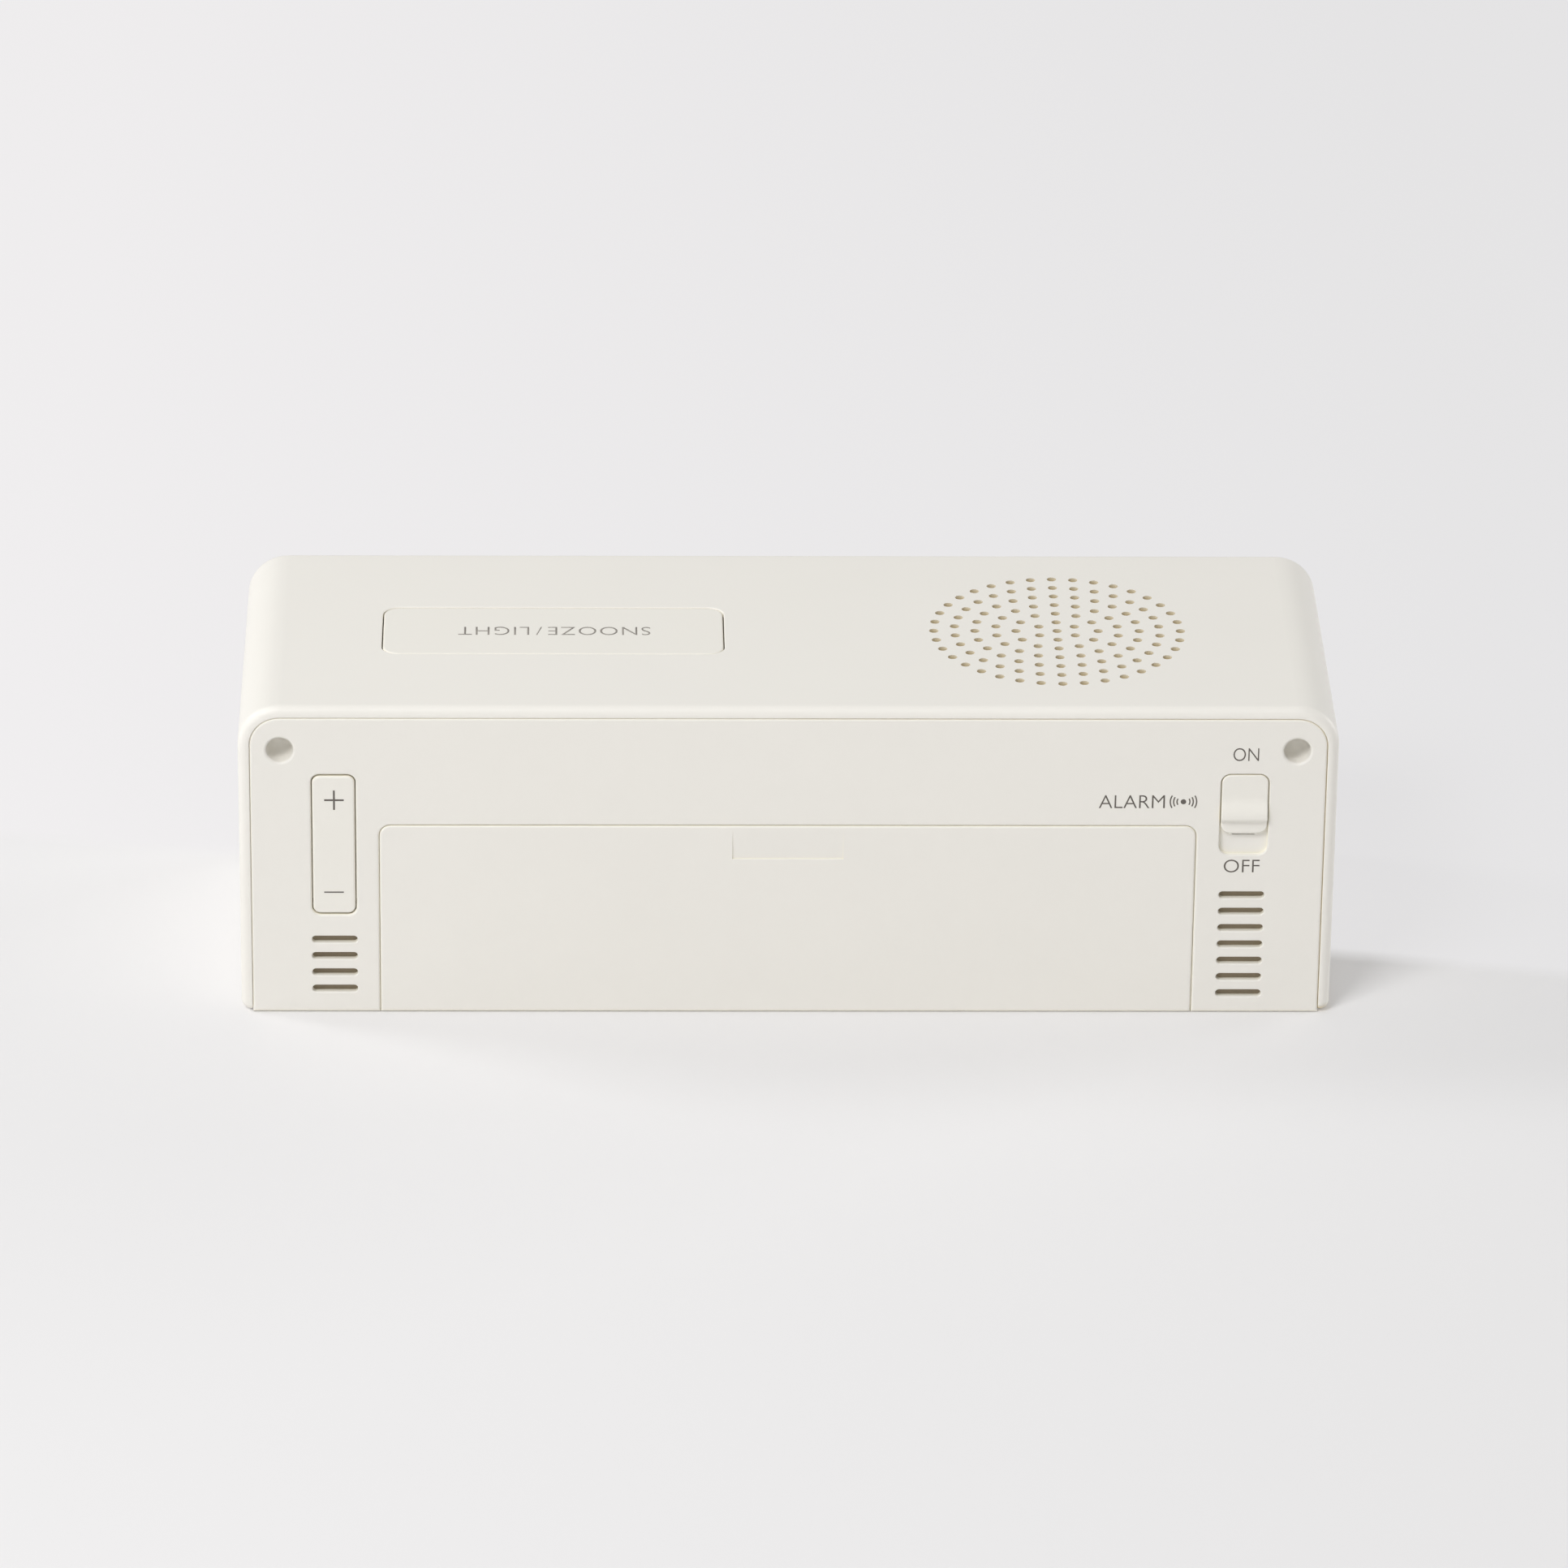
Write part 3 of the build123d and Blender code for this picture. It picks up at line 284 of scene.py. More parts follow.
    def lift(self, colour: bpy.types.NodeSocket, share: bpy.types.NodeSocket) -> None:
        """Mixes in a glow that the camera sees, itself or in metal and glass, so that shadows stay light.

        Args:
            colour: Colour of the glow.
            share: Share of the glow in what the camera sees.
        """
        glow = self.nodes.new("ShaderNodeEmission")
        self.links.new(colour, glow.inputs["Color"])
        path = self.nodes.new("ShaderNodeLightPath").outputs
        mirrored = self.math("MAXIMUM", path["Is Glossy Ray"], path["Is Transmission Ray"])
        seen = self.math("MAXIMUM", path["Is Camera Ray"], mirrored)
        mixed = self.nodes.new("ShaderNodeMixShader")
        self.links.new(self.math("MULTIPLY", seen, share), mixed.inputs["Fac"])
        self.links.new(self.shader.outputs["BSDF"], mixed.inputs[1])
        self.links.new(glow.outputs["Emission"], mixed.inputs[2])
        self.links.new(mixed.outputs["Shader"], self.nodes["Material Output"].inputs["Surface"])

    def bump(self, height: bpy.types.NodeSocket, relief: float) -> None:
        """Gives the shader a relief.

        Args:
            height: Height of the relief, 0 to 1.
            relief: Its depth in metres.
        """
        node = self.nodes.new("ShaderNodeBump")
        node.inputs["Distance"].default_value = relief
        self.links.new(height, node.inputs["Height"])
        self.feed(node.outputs["Normal"], "Normal")


@dataclass(frozen=True)
class Finish:
    """A moulded surface: one colour that drifts a little, and a fine even grain."""

    name: str
    colour: Colour
    roughness: float = 0.5
    metallic: float = 0.0
    grain: float = 0.16 * MM
    relief: float = 0.004 * MM
    drift: float = 0.02
    drift_size: float = 14 * MM

    @lru_cache(maxsize=None)
    def material(self) -> bpy.types.Material:
        """Makes the finish's material once.

        Returns:
            The material.
        """
        sheet = NodeSheet(self.name)
        sheet.set("Metallic", self.metallic)
        self.paint(sheet)
        self.texture(sheet)
        return sheet.material

    def toned(self, share: float) -> Colour:
        """Gives the finish's colour, lighter or darker.

        Args:
            share: How much lighter; a darker one is negative.

        Returns:
            The colour.
        """
        return tuple(min(1.0, level * (1 + share)) for level in self.colour)

    def clouded(self, sheet: NodeSheet) -> bpy.types.NodeSocket:
        """Gives the finish's colour with its drift.

        Args:
            sheet: Nodes of the material.

        Returns:
            The colour.
        """
        cloud = sheet.span(sheet.noise(self.drift_size), CLOUD_LOW, CLOUD_HIGH, 0, 1)
        return sheet.blend(cloud, self.toned(-self.drift), self.toned(self.drift))

    def paint(self, sheet: NodeSheet) -> None:
        """Adds the colour.

        Args:
            sheet: Nodes of the material.
        """
        sheet.feed(self.clouded(sheet), "Base Color")

    def texture(self, sheet: NodeSheet) -> None:
        """Adds the roughness and the grain.

        Args:
            sheet: Nodes of the material.
        """
        fine = sheet.noise(self.grain, GRAIN_DETAIL)
        smooth = self.roughness * (1 - ROUGHNESS_SPREAD)
        rough = min(1.0, self.roughness * (1 + ROUGHNESS_SPREAD))
        sheet.feed(sheet.span(fine, GRAIN_LOW, GRAIN_HIGH, smooth, rough), "Roughness")
        sheet.bump(fine, self.relief)


@dataclass(frozen=True)
class IvoryPlastic(Finish):
    """Ivory plastic with painted light and shade in its gaps and holes: a warm tint set by ambient occlusion.
    """

    drift: float = 0.004
    # painted light and shade: the tint that gaps and holes take, lighter or darker than the plastic
    painted_gap_light_and_shade: Colour = shade(243, 238, 219)
    painted_gap_reach: float = 0.9 * MM
    closed: float = 0.1
    clear: float = 0.9

    def gap(self, sheet: NodeSheet) -> Colour | bpy.types.NodeSocket:
        """Gives the painted light and shade of the gaps.

        Args:
            sheet: Nodes of the material.

        Returns:
            The colour, or a socket that carries it.
        """
        return self.painted_gap_light_and_shade

    def paint(self, sheet: NodeSheet) -> None:
        """Adds the colour, with painted light and shade in gaps: a warm tint, lighter or darker than the
        plastic.

        Args:
            sheet: Nodes of the material.
        """
        share = sheet.span(sheet.openness(self.painted_gap_reach), self.closed, self.clear, 0, 1)
        sheet.feed(sheet.blend(share, self.gap(sheet), self.clouded(sheet)), "Base Color")


@dataclass(frozen=True)
class SleevePlastic(IvoryPlastic):
    """Ivory plastic of the sleeve, with painted shade, tan, in the grille's holes and painted light, paler,
    in the snooze opening at +X.
    """

    # painted light: a paler tint in the snooze opening
    painted_opening_light: Colour = shade(250, 246, 236)

    def gap(self, sheet: NodeSheet) -> bpy.types.NodeSocket:
        """Gives the painted light and shade of the gaps, by the half of the sleeve that they are in.

        Args:
            sheet: Nodes of the material.

        Returns:
            The colour.
        """
        snooze_half = sheet.math("GREATER_THAN", sheet.axis("X"), 0.0)
        return sheet.blend(snooze_half, self.painted_gap_light_and_shade, self.painted_opening_light)


@dataclass(frozen=True)
class BrushedMetal(Finish):
    """Plated metal with lines drawn along one axis."""

    metallic: float = 1.0
    lines: Colour = (0.08, 1.0, 1.0)
    line_detail: float = 4.0
    smoothest: float = 0.7
    roughest: float = 1.4

    def texture(self, sheet: NodeSheet) -> None:
        """Adds lines to the roughness and the relief.

        Args:
            sheet: Nodes of the material.
        """
        drawn = sheet.noise(self.grain, self.line_detail, self.lines)
        smooth, rough = self.roughness * self.smoothest, self.roughness * self.roughest
        sheet.feed(sheet.span(drawn, CLOUD_LOW, CLOUD_HIGH, smooth, rough), "Roughness")
        sheet.bump(drawn, self.relief)


@dataclass(frozen=True)
class SolderMask(Finish):
    """Board lacquer over copper tracks that run along one pair of axes."""

    track_colour: Colour = shade(176, 128, 74)
    track_pitch: float = 1.9 * MM
    track_edge: float = 0.72
    way_size: float = 9 * MM
    way_edge: float = 0.5

    def paint(self, sheet: NodeSheet) -> None:
        """Adds the lacquer, lighter over its tracks.

        Args:
            sheet: Nodes of the material.
        """
        ways = sheet.noise(self.way_size, 0.0)
        along = sheet.math("GREATER_THAN", sheet.wave(self.track_pitch, "X"), self.track_edge)
        up = sheet.math("GREATER_THAN", sheet.wave(self.track_pitch, "Z"), self.track_edge)
        first = sheet.math("MULTIPLY", along, sheet.math("GREATER_THAN", ways, self.way_edge))
        second = sheet.math("MULTIPLY", up, sheet.math("LESS_THAN", ways, self.way_edge))
        tracks = sheet.math("ADD", first, second)
        sheet.feed(sheet.blend(tracks, self.colour, self.track_colour), "Base Color")


@dataclass(frozen=True)
class WovenCloth(Finish):
    """Fine plain weave lying flat."""

    pitch: float = 0.3 * MM

    def texture(self, sheet: NodeSheet) -> None:
        """Adds crossing threads.

        Args:
            sheet: Nodes of the material.
        """
        sheet.set("Roughness", self.roughness)
        threads = sheet.math("MAXIMUM", sheet.wave(self.pitch, "X"), sheet.wave(self.pitch, "Y"))
        sheet.bump(threads, self.relief)


@dataclass(frozen=True)
class CellJacket(Finish):
    """Jacket of a cell that lies along X, with a bright band near its nipple and bare metal at both ends."""

    low: float = 0.0
    high: float = 0.0
    band_colour: Colour = shade(204, 206, 202)
    metal_colour: Colour = shade(196, 194, 188)
    band_share: float = 0.3
    rim: float = 1.2 * MM
    nipple: float = 2.6 * MM
    sheen: float = 0.35

    def paint(self, sheet: NodeSheet) -> None:
        """Adds the jacket, its band and the metal ends.

        Args:
            sheet: Nodes of the material.
        """
        along = sheet.axis("X")
        band_start = self.high - self.band_share * (self.high - self.low)
        banded = sheet.blend(sheet.math("GREATER_THAN", along, band_start), self.colour, self.band_colour)
        near_end = sheet.math("GREATER_THAN", along, self.high - self.nipple)
        far_end = sheet.math("LESS_THAN", along, self.low + self.rim)
        ends = sheet.math("ADD", near_end, far_end)
        sheet.feed(sheet.blend(ends, banded, self.metal_colour), "Base Color")
        sheet.feed(sheet.span(ends, 0, 1, self.sheen, 1.0), "Metallic")


@dataclass(frozen=True)
class ClearPlastic(Finish):
    """Polished see-through plastic."""

    refraction: float = 1.49

    def paint(self, sheet: NodeSheet) -> None:
        """Makes the plastic clear.

        Args:
            sheet: Nodes of the material.
        """
        sheet.set("Base Color", self.colour)
        sheet.set("Transmission Weight", 1.0)
        sheet.set("IOR", self.refraction)


@dataclass(frozen=True)
class StudioFloor(Finish):
    """Matt floor with a painted glow that the camera sees: painted light, paler on the lamps' side, that
    lightens shadows a little near the camera and more behind.
    """

    # painted light: the glow's colour, paler on the lamps' side
    pale_glow: Colour = shade(241, 239, 240)
    dim_glow: Colour = shade(231, 230, 231)
    glow_span: float = 0.11
    slant: float = 0.2
    near: float = -0.006
    far: float = -0.01
    near_lift: float = 0.2
    far_lift: float = 0.85

    def texture(self, sheet: NodeSheet) -> None:
        """Adds the roughness and the glow.

        Args:
            sheet: Nodes of the material.
        """
        sheet.set("Roughness", self.roughness)
        across = sheet.span(sheet.axis("X"), -self.glow_span, self.glow_span, 0, 1)
        depth = sheet.math("ADD", sheet.axis("Y"), sheet.math("MULTIPLY", sheet.axis("X"), self.slant))
        share = sheet.span(depth, self.far, self.near, self.far_lift, self.near_lift)
        sheet.lift(sheet.blend(across, self.dim_glow, self.pale_glow), share)


@dataclass(frozen=True)
class PrintedInk(Finish):
    """Matt ink, a little uneven where it was pressed on."""

    grain: float = 0.08 * MM
    relief: float = 0.001 * MM
    drift: float = 0.06
    drift_size: float = 0.5 * MM


# painted shade in the sleeve's gaps and holes, a tan tint; painted light in the gaps of the cover and the
# controls, a paler, warmer tint
CASE = SleevePlastic("ivory_case", shade(235, 232, 225), roughness=0.48, painted_gap_light_and_shade=shade(215, 197, 151),
                     painted_gap_reach=1.6 * MM)
COVER = IvoryPlastic("ivory_cover", shade(234, 231, 224), roughness=0.5)
CONTROL = IvoryPlastic("ivory_control", shade(235, 232, 224), roughness=0.46,
                       painted_gap_light_and_shade=shade(247, 241, 224))
LENS = ClearPlastic("clear_lens", (0.98, 0.985, 0.985), roughness=0.03, relief=0.0004 * MM, grain=3 * MM)
PANEL = Finish("display_glass", shade(186, 192, 180), roughness=0.22, grain=0.4 * MM, relief=0.0004 * MM)
GUIDE = Finish("light_guide", shade(236, 238, 236), roughness=0.3, grain=0.8 * MM)
LAMP = Finish("lamp", shade(240, 236, 190), roughness=0.3)
STRIP = Finish("contact_strip", shade(64, 62, 66), roughness=0.7, grain=0.3 * MM, drift=0.2,
               drift_size=0.3 * MM)
INNER = Finish("inner_plastic", shade(216, 214, 208), roughness=0.55)
BOARD = SolderMask("board_lacquer", shade(150, 104, 58), roughness=0.38, grain=0.5 * MM)
SCREW = BrushedMetal("zinc_plate", shade(186, 184, 176), roughness=0.32, grain=0.1 * MM)
CHIP = Finish("chip_moulding", shade(36, 36, 38), roughness=0.62)
CAN = BrushedMetal("tinned_can", shade(198, 197, 192), roughness=0.3, grain=0.2 * MM)
SLEEVE_CAN = BrushedMetal("aluminium_can", shade(206, 208, 212), roughness=0.34, grain=0.2 * MM)
SWITCH = Finish("switch_housing", shade(44, 44, 46), roughness=0.55)
STEM = Finish("switch_stem", shade(76, 72, 68), roughness=0.5)
SENSOR = Finish("sensor_housing", shade(222, 221, 214), roughness=0.5)
CLOTH = WovenCloth("grille_weave", shade(158, 124, 86), roughness=0.9, relief=0.05 * MM, drift=0.06)
# painted shade: a brown sheet behind the vents that stands in for the shade seen through them; a dust screen
# too
DUST_AND_SHADE_SCREEN = WovenCloth("dust_and_shade_screen", shade(140, 128, 107), roughness=0.9, relief=0.03 * MM, drift=0.06)
BASKET = Finish("speaker_basket", shade(62, 62, 64), roughness=0.45, metallic=0.4)
CONE = Finish("cone_paper", shade(70, 62, 56), roughness=0.85, grain=0.5 * MM, relief=0.03 * MM, drift=0.12)
FERRITE = Finish("ferrite", shade(52, 52, 54), roughness=0.6, grain=0.3 * MM, relief=0.01 * MM, drift=0.1)
NICKEL = BrushedMetal("nickel_sheet", shade(208, 204, 192), roughness=0.28, grain=0.15 * MM)
RUBBER = Finish("foot_rubber", shade(196, 193, 186), roughness=0.85, grain=0.3 * MM, relief=0.01 * MM)
LEGEND = PrintedInk("legend_ink", shade(98, 92, 86), roughness=0.6)
SNOOZE_INK = PrintedInk("snooze_ink", shade(146, 141, 134), roughness=0.6)
MASK = PrintedInk("mask_ink", shade(205, 203, 197), roughness=0.6, drift=0.01)
FIGURE = PrintedInk("figure", shade(38, 42, 40), roughness=0.35, drift=0.03)
REST = PrintedInk("figure_at_rest", shade(178, 184, 172), roughness=0.3, drift=0.01)


def wear(node: str, finish: Finish) -> None:
    """Gives a CAD node its finish.

    Args:
        node: Name of the node.
        finish: The finish.
    """
    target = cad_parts[node]
    if not target.material_slots:
        target.data.materials.append(None)
    for slot in target.material_slots:
        slot.material = finish.material()
    log.info("dressed %s in %s", node, finish.name)


def thicken(drawing: bmesh.types.BMesh, depth: float) -> None:
    """Gives a flat drawing a thickness towards +Z.

    Args:
        drawing: Faces in the XY plane.
        depth: The thickness.
    """
    grown = bmesh.ops.extrude_face_region(drawing, geom=drawing.faces[:])
    risen = [item for item in grown["geom"] if isinstance(item, bmesh.types.BMVert)]
    bmesh.ops.translate(drawing, verts=risen, vec=(0, 0, depth))


def slab(low: Vector, high: Vector) -> bmesh.types.BMesh:
    """Makes a block between two corners.

    Args:
        low: Its lowest corner.
        high: Its highest corner.

    Returns:
        The drawing.
    """
    drawing = bmesh.new()
    bmesh.ops.create_cube(drawing, size=1)
    bmesh.ops.scale(drawing, verts=drawing.verts[:], vec=high - low)
    bmesh.ops.translate(drawing, verts=drawing.verts[:], vec=(low + high) / 2)
    return drawing


def set_piece(name: str, drawing: bmesh.types.BMesh, finish: Finish, body: str) -> None:
    """Makes a finished piece that rides on a body.

    Args:
        name: Name of the piece.
        drawing: Its mesh, in place. It is freed.
        finish: Its finish.
        body: The body that carries it.
    """
    bmesh.ops.remove_doubles(drawing, verts=drawing.verts[:], dist=MERGE_DISTANCE)
    bmesh.ops.recalc_face_normals(drawing, faces=drawing.faces[:])
    mesh = bpy.data.meshes.new(name)
    drawing.to_mesh(mesh)
    drawing.free()
    mesh.materials.append(finish.material())
    piece = bpy.data.objects.new(name, mesh)
    bpy.context.scene.collection.objects.link(piece)
    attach(piece, body)
    log.info("built %s: %d faces", name, len(mesh.polygons))


@dataclass(frozen=True)
class Legend:
    """A printed word, set to a width and a height of its capitals, about its own middle."""

    words: str
    width: float
    height: float
    boldness: float = -0.012
    letter_space: float = 1.0
    word_space: float = 1.0
    depth: float = INK_THICKNESS

    def draw(self) -> bmesh.types.BMesh:
        """Sets the word as a solid drawing.

        Returns:
            The drawing, with its back in the XY plane.
        """
        curve = bpy.data.curves.new("legend", "FONT")
        curve.body = self.words
        curve.offset = self.boldness
        curve.space_character = self.letter_space
        curve.space_word = self.word_space
        curve.resolution_u = FONT_STEPS
        holder = bpy.data.objects.new("legend", curve)
        bpy.context.scene.collection.objects.link(holder)
        flat = bpy.data.meshes.new_from_object(holder.evaluated_get(bpy.context.evaluated_depsgraph_get()))
        bpy.data.objects.remove(holder)
        bpy.data.curves.remove(curve)
        drawing = bmesh.new()
        drawing.from_mesh(flat)
        bpy.data.meshes.remove(flat)
        bmesh.ops.remove_doubles(drawing, verts=drawing.verts[:], dist=FONT_MERGE)
        corners = [vert.co for vert in drawing.verts]
        low = Vector(min(corner[axis] for corner in corners) for axis in range(3))
        high = Vector(max(corner[axis] for corner in corners) for axis in range(3))
        bmesh.ops.translate(drawing, verts=drawing.verts[:], vec=-(low + high) / 2)
        fit = Vector((self.width / (high.x - low.x), self.height / (high.y - low.y), 1))
        bmesh.ops.scale(drawing, verts=drawing.verts[:], vec=fit)
        thicken(drawing, self.depth)
        return drawing


def place(drawing: bmesh.types.BMesh, facing: Facing, spot: Vector) -> bmesh.types.BMesh:
    """Lays a flat drawing on a surface, its back a little under it.

    Args:
        drawing: The drawing, with its back in the XY plane.
        facing: Which way it faces.
        spot: The point of the surface under its origin.

    Returns:
        The same drawing.
    """
    sunk = Matrix.Translation((0, 0, -INK_SUNK))
    bmesh.ops.transform(drawing, matrix=facing.matrix(spot) @ sunk, verts=drawing.verts[:])
    return drawing


@dataclass
class SubAssembly:
    """A group of CAD nodes with their finishes, and the pieces that are added to them."""

    finishes: dict[str, Finish] = field(default_factory=dict)

    def dress(self) -> None:
        """Gives each node its finish."""
        for node, finish in self.finishes.items():
            wear(node, finish)

    def build(self) -> None:
        """Adds the pieces that the CAD nodes don't hold; a plain group has none."""


@dataclass
class RearCover(SubAssembly):
    """Rear cover with the alarm switch's words and sound sign, and a dust screen behind each set of vents
    whose brown is painted shade.
    """

    finishes: dict[str, Finish] = field(default_factory=lambda: {"rear_cover": COVER, "case_screws": SCREW})
    words: tuple[tuple[str, Legend, float, float], ...] = (
        ("legend_on", Legend("ON", 3.5 * MM, 1.95 * MM), -62.3 * MM, 39.55 * MM),
        ("legend_off", Legend("OFF", 4.9 * MM, 1.95 * MM), -62.2 * MM, 22.6 * MM),
        ("legend_alarm", Legend("ALARM", 9.0 * MM, 1.94 * MM), -46.9 * MM, 32.4 * MM),
    )
    sign_spot: tuple[float, float] = (-53.94 * MM, 32.39 * MM)
    dot_radius: float = 0.38 * MM
    dot_sides: int = 20
    arc_radii: tuple[float, ...] = (0.88 * MM, 1.34 * MM, 1.8 * MM)
    arc_stroke: float = 0.18 * MM
    arc_reach: float = math.radians(31)
    arc_steps: int = 10
    vent_wall: float = 0.9 * MM
    screen_width: float = 6.5 * MM
    screen_thickness: float = 0.12 * MM
    screen_rests: tuple[tuple[str, float, float, float], ...] = (
        ("dust_and_shade_screen_key", 62.06 * MM, 3.0 * MM, 11.87 * MM),
        ("dust_and_shade_screen_alarm", -62.33 * MM, 2.36 * MM, 18.78 * MM),
    )

    def build(self) -> None:
        """Sets the dust screens, brown sheets of painted shade behind the vents, and prints the words and the
        sound sign on the cover.
        """
        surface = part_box("rear_cover")[1].y
        for name, across, low, high in self.screen_rests:
            rear = surface - self.vent_wall
            drawing = slab(Vector((across - self.screen_width / 2, rear - self.screen_thickness, low)),
                           Vector((across + self.screen_width / 2, rear, high)))
            set_piece(name, drawing, DUST_AND_SHADE_SCREEN, "clock_body")
        for name, legend, across, up in self.words:
            drawing = place(legend.draw(), Facing.REAR, Vector((across, surface, up)))
            set_piece(name, drawing, LEGEND, "clock_body")
        sign = place(self.draw_sign(), Facing.REAR, Vector((self.sign_spot[0], surface, self.sign_spot[1])))
        set_piece("legend_sound_sign", sign, LEGEND, "clock_body")

    def draw_sign(self) -> bmesh.types.BMesh:
        """Draws a dot between two sets of arcs.

        Returns:
            The drawing.
        """
        drawing = bmesh.new()
        bmesh.ops.create_circle(drawing, cap_ends=True, segments=self.dot_sides, radius=self.dot_radius)
        for middle in (0.0, math.pi):
            for radius in self.arc_radii:
                start = Vector((math.cos(middle - self.arc_reach), math.sin(middle - self.arc_reach), 0))
                ends = [drawing.verts.new(start * (radius + side * self.arc_stroke / 2)) for side in (-1, 1)]
                stroke = drawing.edges.new(ends)
                bmesh.ops.spin(drawing, geom=[*ends, stroke], cent=(0, 0, 0), axis=(0, 0, 1),
                               angle=2 * self.arc_reach, steps=self.arc_steps, use_merge=False)
        bmesh.ops.recalc_face_normals(drawing, faces=drawing.faces[:])
        thicken(drawing, INK_THICKNESS)
        return drawing


@dataclass
class SnoozeBar(SubAssembly):
    """Snooze bar with its words, which read from the display side."""

    finishes: dict[str, Finish] = field(default_factory=lambda: {
        "snooze_bar": CONTROL, "snooze_stem": STEM, "snooze_switch": SWITCH, "snooze_board": BOARD,
        "snooze_screws": SCREW})
    spot: tuple[float, float] = (32.0 * MM, 0.45 * MM)
    words: Legend = Legend("SNOOZE / LIGHT", 26.5 * MM, 2.6 * MM, letter_space=1.08, word_space=0.35)

    def build(self) -> None:
        """Prints the words on the bar."""
        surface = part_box("snooze_bar")[1].z
        drawing = place(self.words.draw(), Facing.TOP, Vector((*self.spot, surface)))
        set_piece("legend_snooze", drawing, SNOOZE_INK, "snooze_bar")


class Sign(Enum):
    """Signs printed on the key, by the name of their piece."""

    PLUS = "legend_plus"
    MINUS = "legend_minus"


@dataclass
class PlusMinusKey(SubAssembly):
    """Rocking key with a plus above and a minus below."""

    finishes: dict[str, Finish] = field(default_factory=lambda: {
        "plus_minus_key": CONTROL, "key_stems": STEM, "key_switches": SWITCH, "key_board": BOARD})
    plus_spot: tuple[float, float] = (61.97 * MM, 32.5 * MM)
    minus_spot: tuple[float, float] = (62.1 * MM, 18.49 * MM)
    arm: float = 1.34 * MM
    rise: float = 1.47 * MM
    stroke: float = 0.26 * MM
    minus_stroke: float = 0.19 * MM

    def build(self) -> None:
        """Prints both signs on the key."""
        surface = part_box("plus_minus_key")[1].y
        for sign, spot in ((Sign.PLUS, self.plus_spot), (Sign.MINUS, self.minus_spot)):
            drawing = place(self.draw(sign), Facing.REAR, Vector((spot[0], surface, spot[1])))
            set_piece(sign.value, drawing, LEGEND, "plus_minus_key")

    def draw(self, sign: Sign) -> bmesh.types.BMesh:
        """Draws a sign from a small square with its edges drawn out.

        Args:
            sign: Which one.

        Returns:
            The drawing.
        """
        drawing = bmesh.new()
        half = (self.stroke if sign is Sign.PLUS else self.minus_stroke) / 2
        bmesh.ops.create_grid(drawing, x_segments=1, y_segments=1, size=half)
        for edge in drawing.edges[:]:
            outward = (edge.verts[0].co + edge.verts[1].co) / 2
            upright = abs(outward.y) > abs(outward.x)
            if upright and sign is Sign.MINUS:
                continue
            grown = bmesh.ops.extrude_edge_only(drawing, edges=[edge])["geom"]
            moved = [item for item in grown if isinstance(item, bmesh.types.BMVert)]
            reach = self.rise if upright else self.arm
            bmesh.ops.translate(drawing, verts=moved, vec=outward.normalized() * (reach - half))
        bmesh.ops.recalc_face_normals(drawing, faces=drawing.faces[:])
        thicken(drawing, INK_THICKNESS)
        return drawing


@dataclass
class AlarmSwitch(SubAssembly):
    """Alarm switch: a knob with a lip along its lower edge, and a stop in the lower end of its slot."""

    finishes: dict[str, Finish] = field(default_factory=lambda: {
        "alarm_knob": CONTROL, "switch_lever": STEM, "slide_switch": CAN, "alarm_board": BOARD,
        "climate_sensor": SENSOR, "control_screws": SCREW})
    recess_depth: float = 0.7 * MM
    panel_thickness: float = 2.0 * MM
    slot_width: float = 3.1 * MM
    slot_drop: float = 0.84 * MM
    stop_height: float = 0.32 * MM
    lip_width: float = 3.85 * MM
    lip_drop: float = 0.2 * MM
    lip_hold: float = 0.15 * MM
    lip_proud: float = 0.55 * MM
    lip_gap: float = 0.02 * MM
    lip_break: float = 0.12 * MM
    lip_steps: int = 3

    def build(self) -> None:
        """Sets the stop in the cover and the lip on the knob."""
        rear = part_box("rear_cover")[1].y
        low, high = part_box("alarm_knob")
        across = (low.x + high.x) / 2
        floor = rear - self.recess_depth
        slot_low = low.z - self.slot_drop
        stop = slab(Vector((across - self.slot_width / 2, rear - self.panel_thickness, slot_low)),
                    Vector((across + self.slot_width / 2, floor, slot_low + self.stop_height)))
        set_piece("slot_stop", stop, COVER, "clock_body")
        lip = slab(Vector((across - self.lip_width / 2, floor + self.lip_gap, low.z - self.lip_drop)),
                   Vector((across + self.lip_width / 2, floor + self.lip_proud, low.z + self.lip_hold)))
        inner = floor + 2 * self.lip_gap
        outer = [edge for edge in lip.edges if all(vert.co.y > inner for vert in edge.verts)]
        bmesh.ops.bevel(lip, geom=outer, offset=self.lip_break, affect="EDGES", segments=self.lip_steps,
                        profile=0.5, material=-1)
        set_piece("knob_lip", lip, CONTROL, "alarm_knob")


@dataclass
class BatteryBay(SubAssembly):
    """Battery door, cells and contacts."""

    finishes: dict[str, Finish] = field(default_factory=lambda: {
        "battery_door": COVER, "contact_plate": NICKEL, "contact_leaf": NICKEL})
    cells: tuple[str, ...] = ("battery_cell_1", "battery_cell_2")
    jacket: Colour = shade(149, 149, 153)
    jacket_roughness: float = 0.32

    def dress(self) -> None:
        """Gives each node its finish, and each cell a jacket that follows its ends."""
        super().dress()
        for node in self.cells:
            low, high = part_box(node)
            wear(node, CellJacket(f"{node}_jacket", self.jacket, self.jacket_roughness, low=low.x,
                                  high=high.x))


class Strokes(Enum):
    """Strokes of one figure that are on; a is the top one, g the middle one, and the others run clockwise."""

    ZERO = "abcdef"
    ONE = "bc"
    TWO = "abdeg"
    THREE = "abcdg"
    FOUR = "bcfg"
    FIVE = "acdfg"
    SIX = "acdefg"
    SEVEN = "abc"
    EIGHT = "abcdefg"
    NINE = "abcdfg"


DIGITS = list(Strokes)


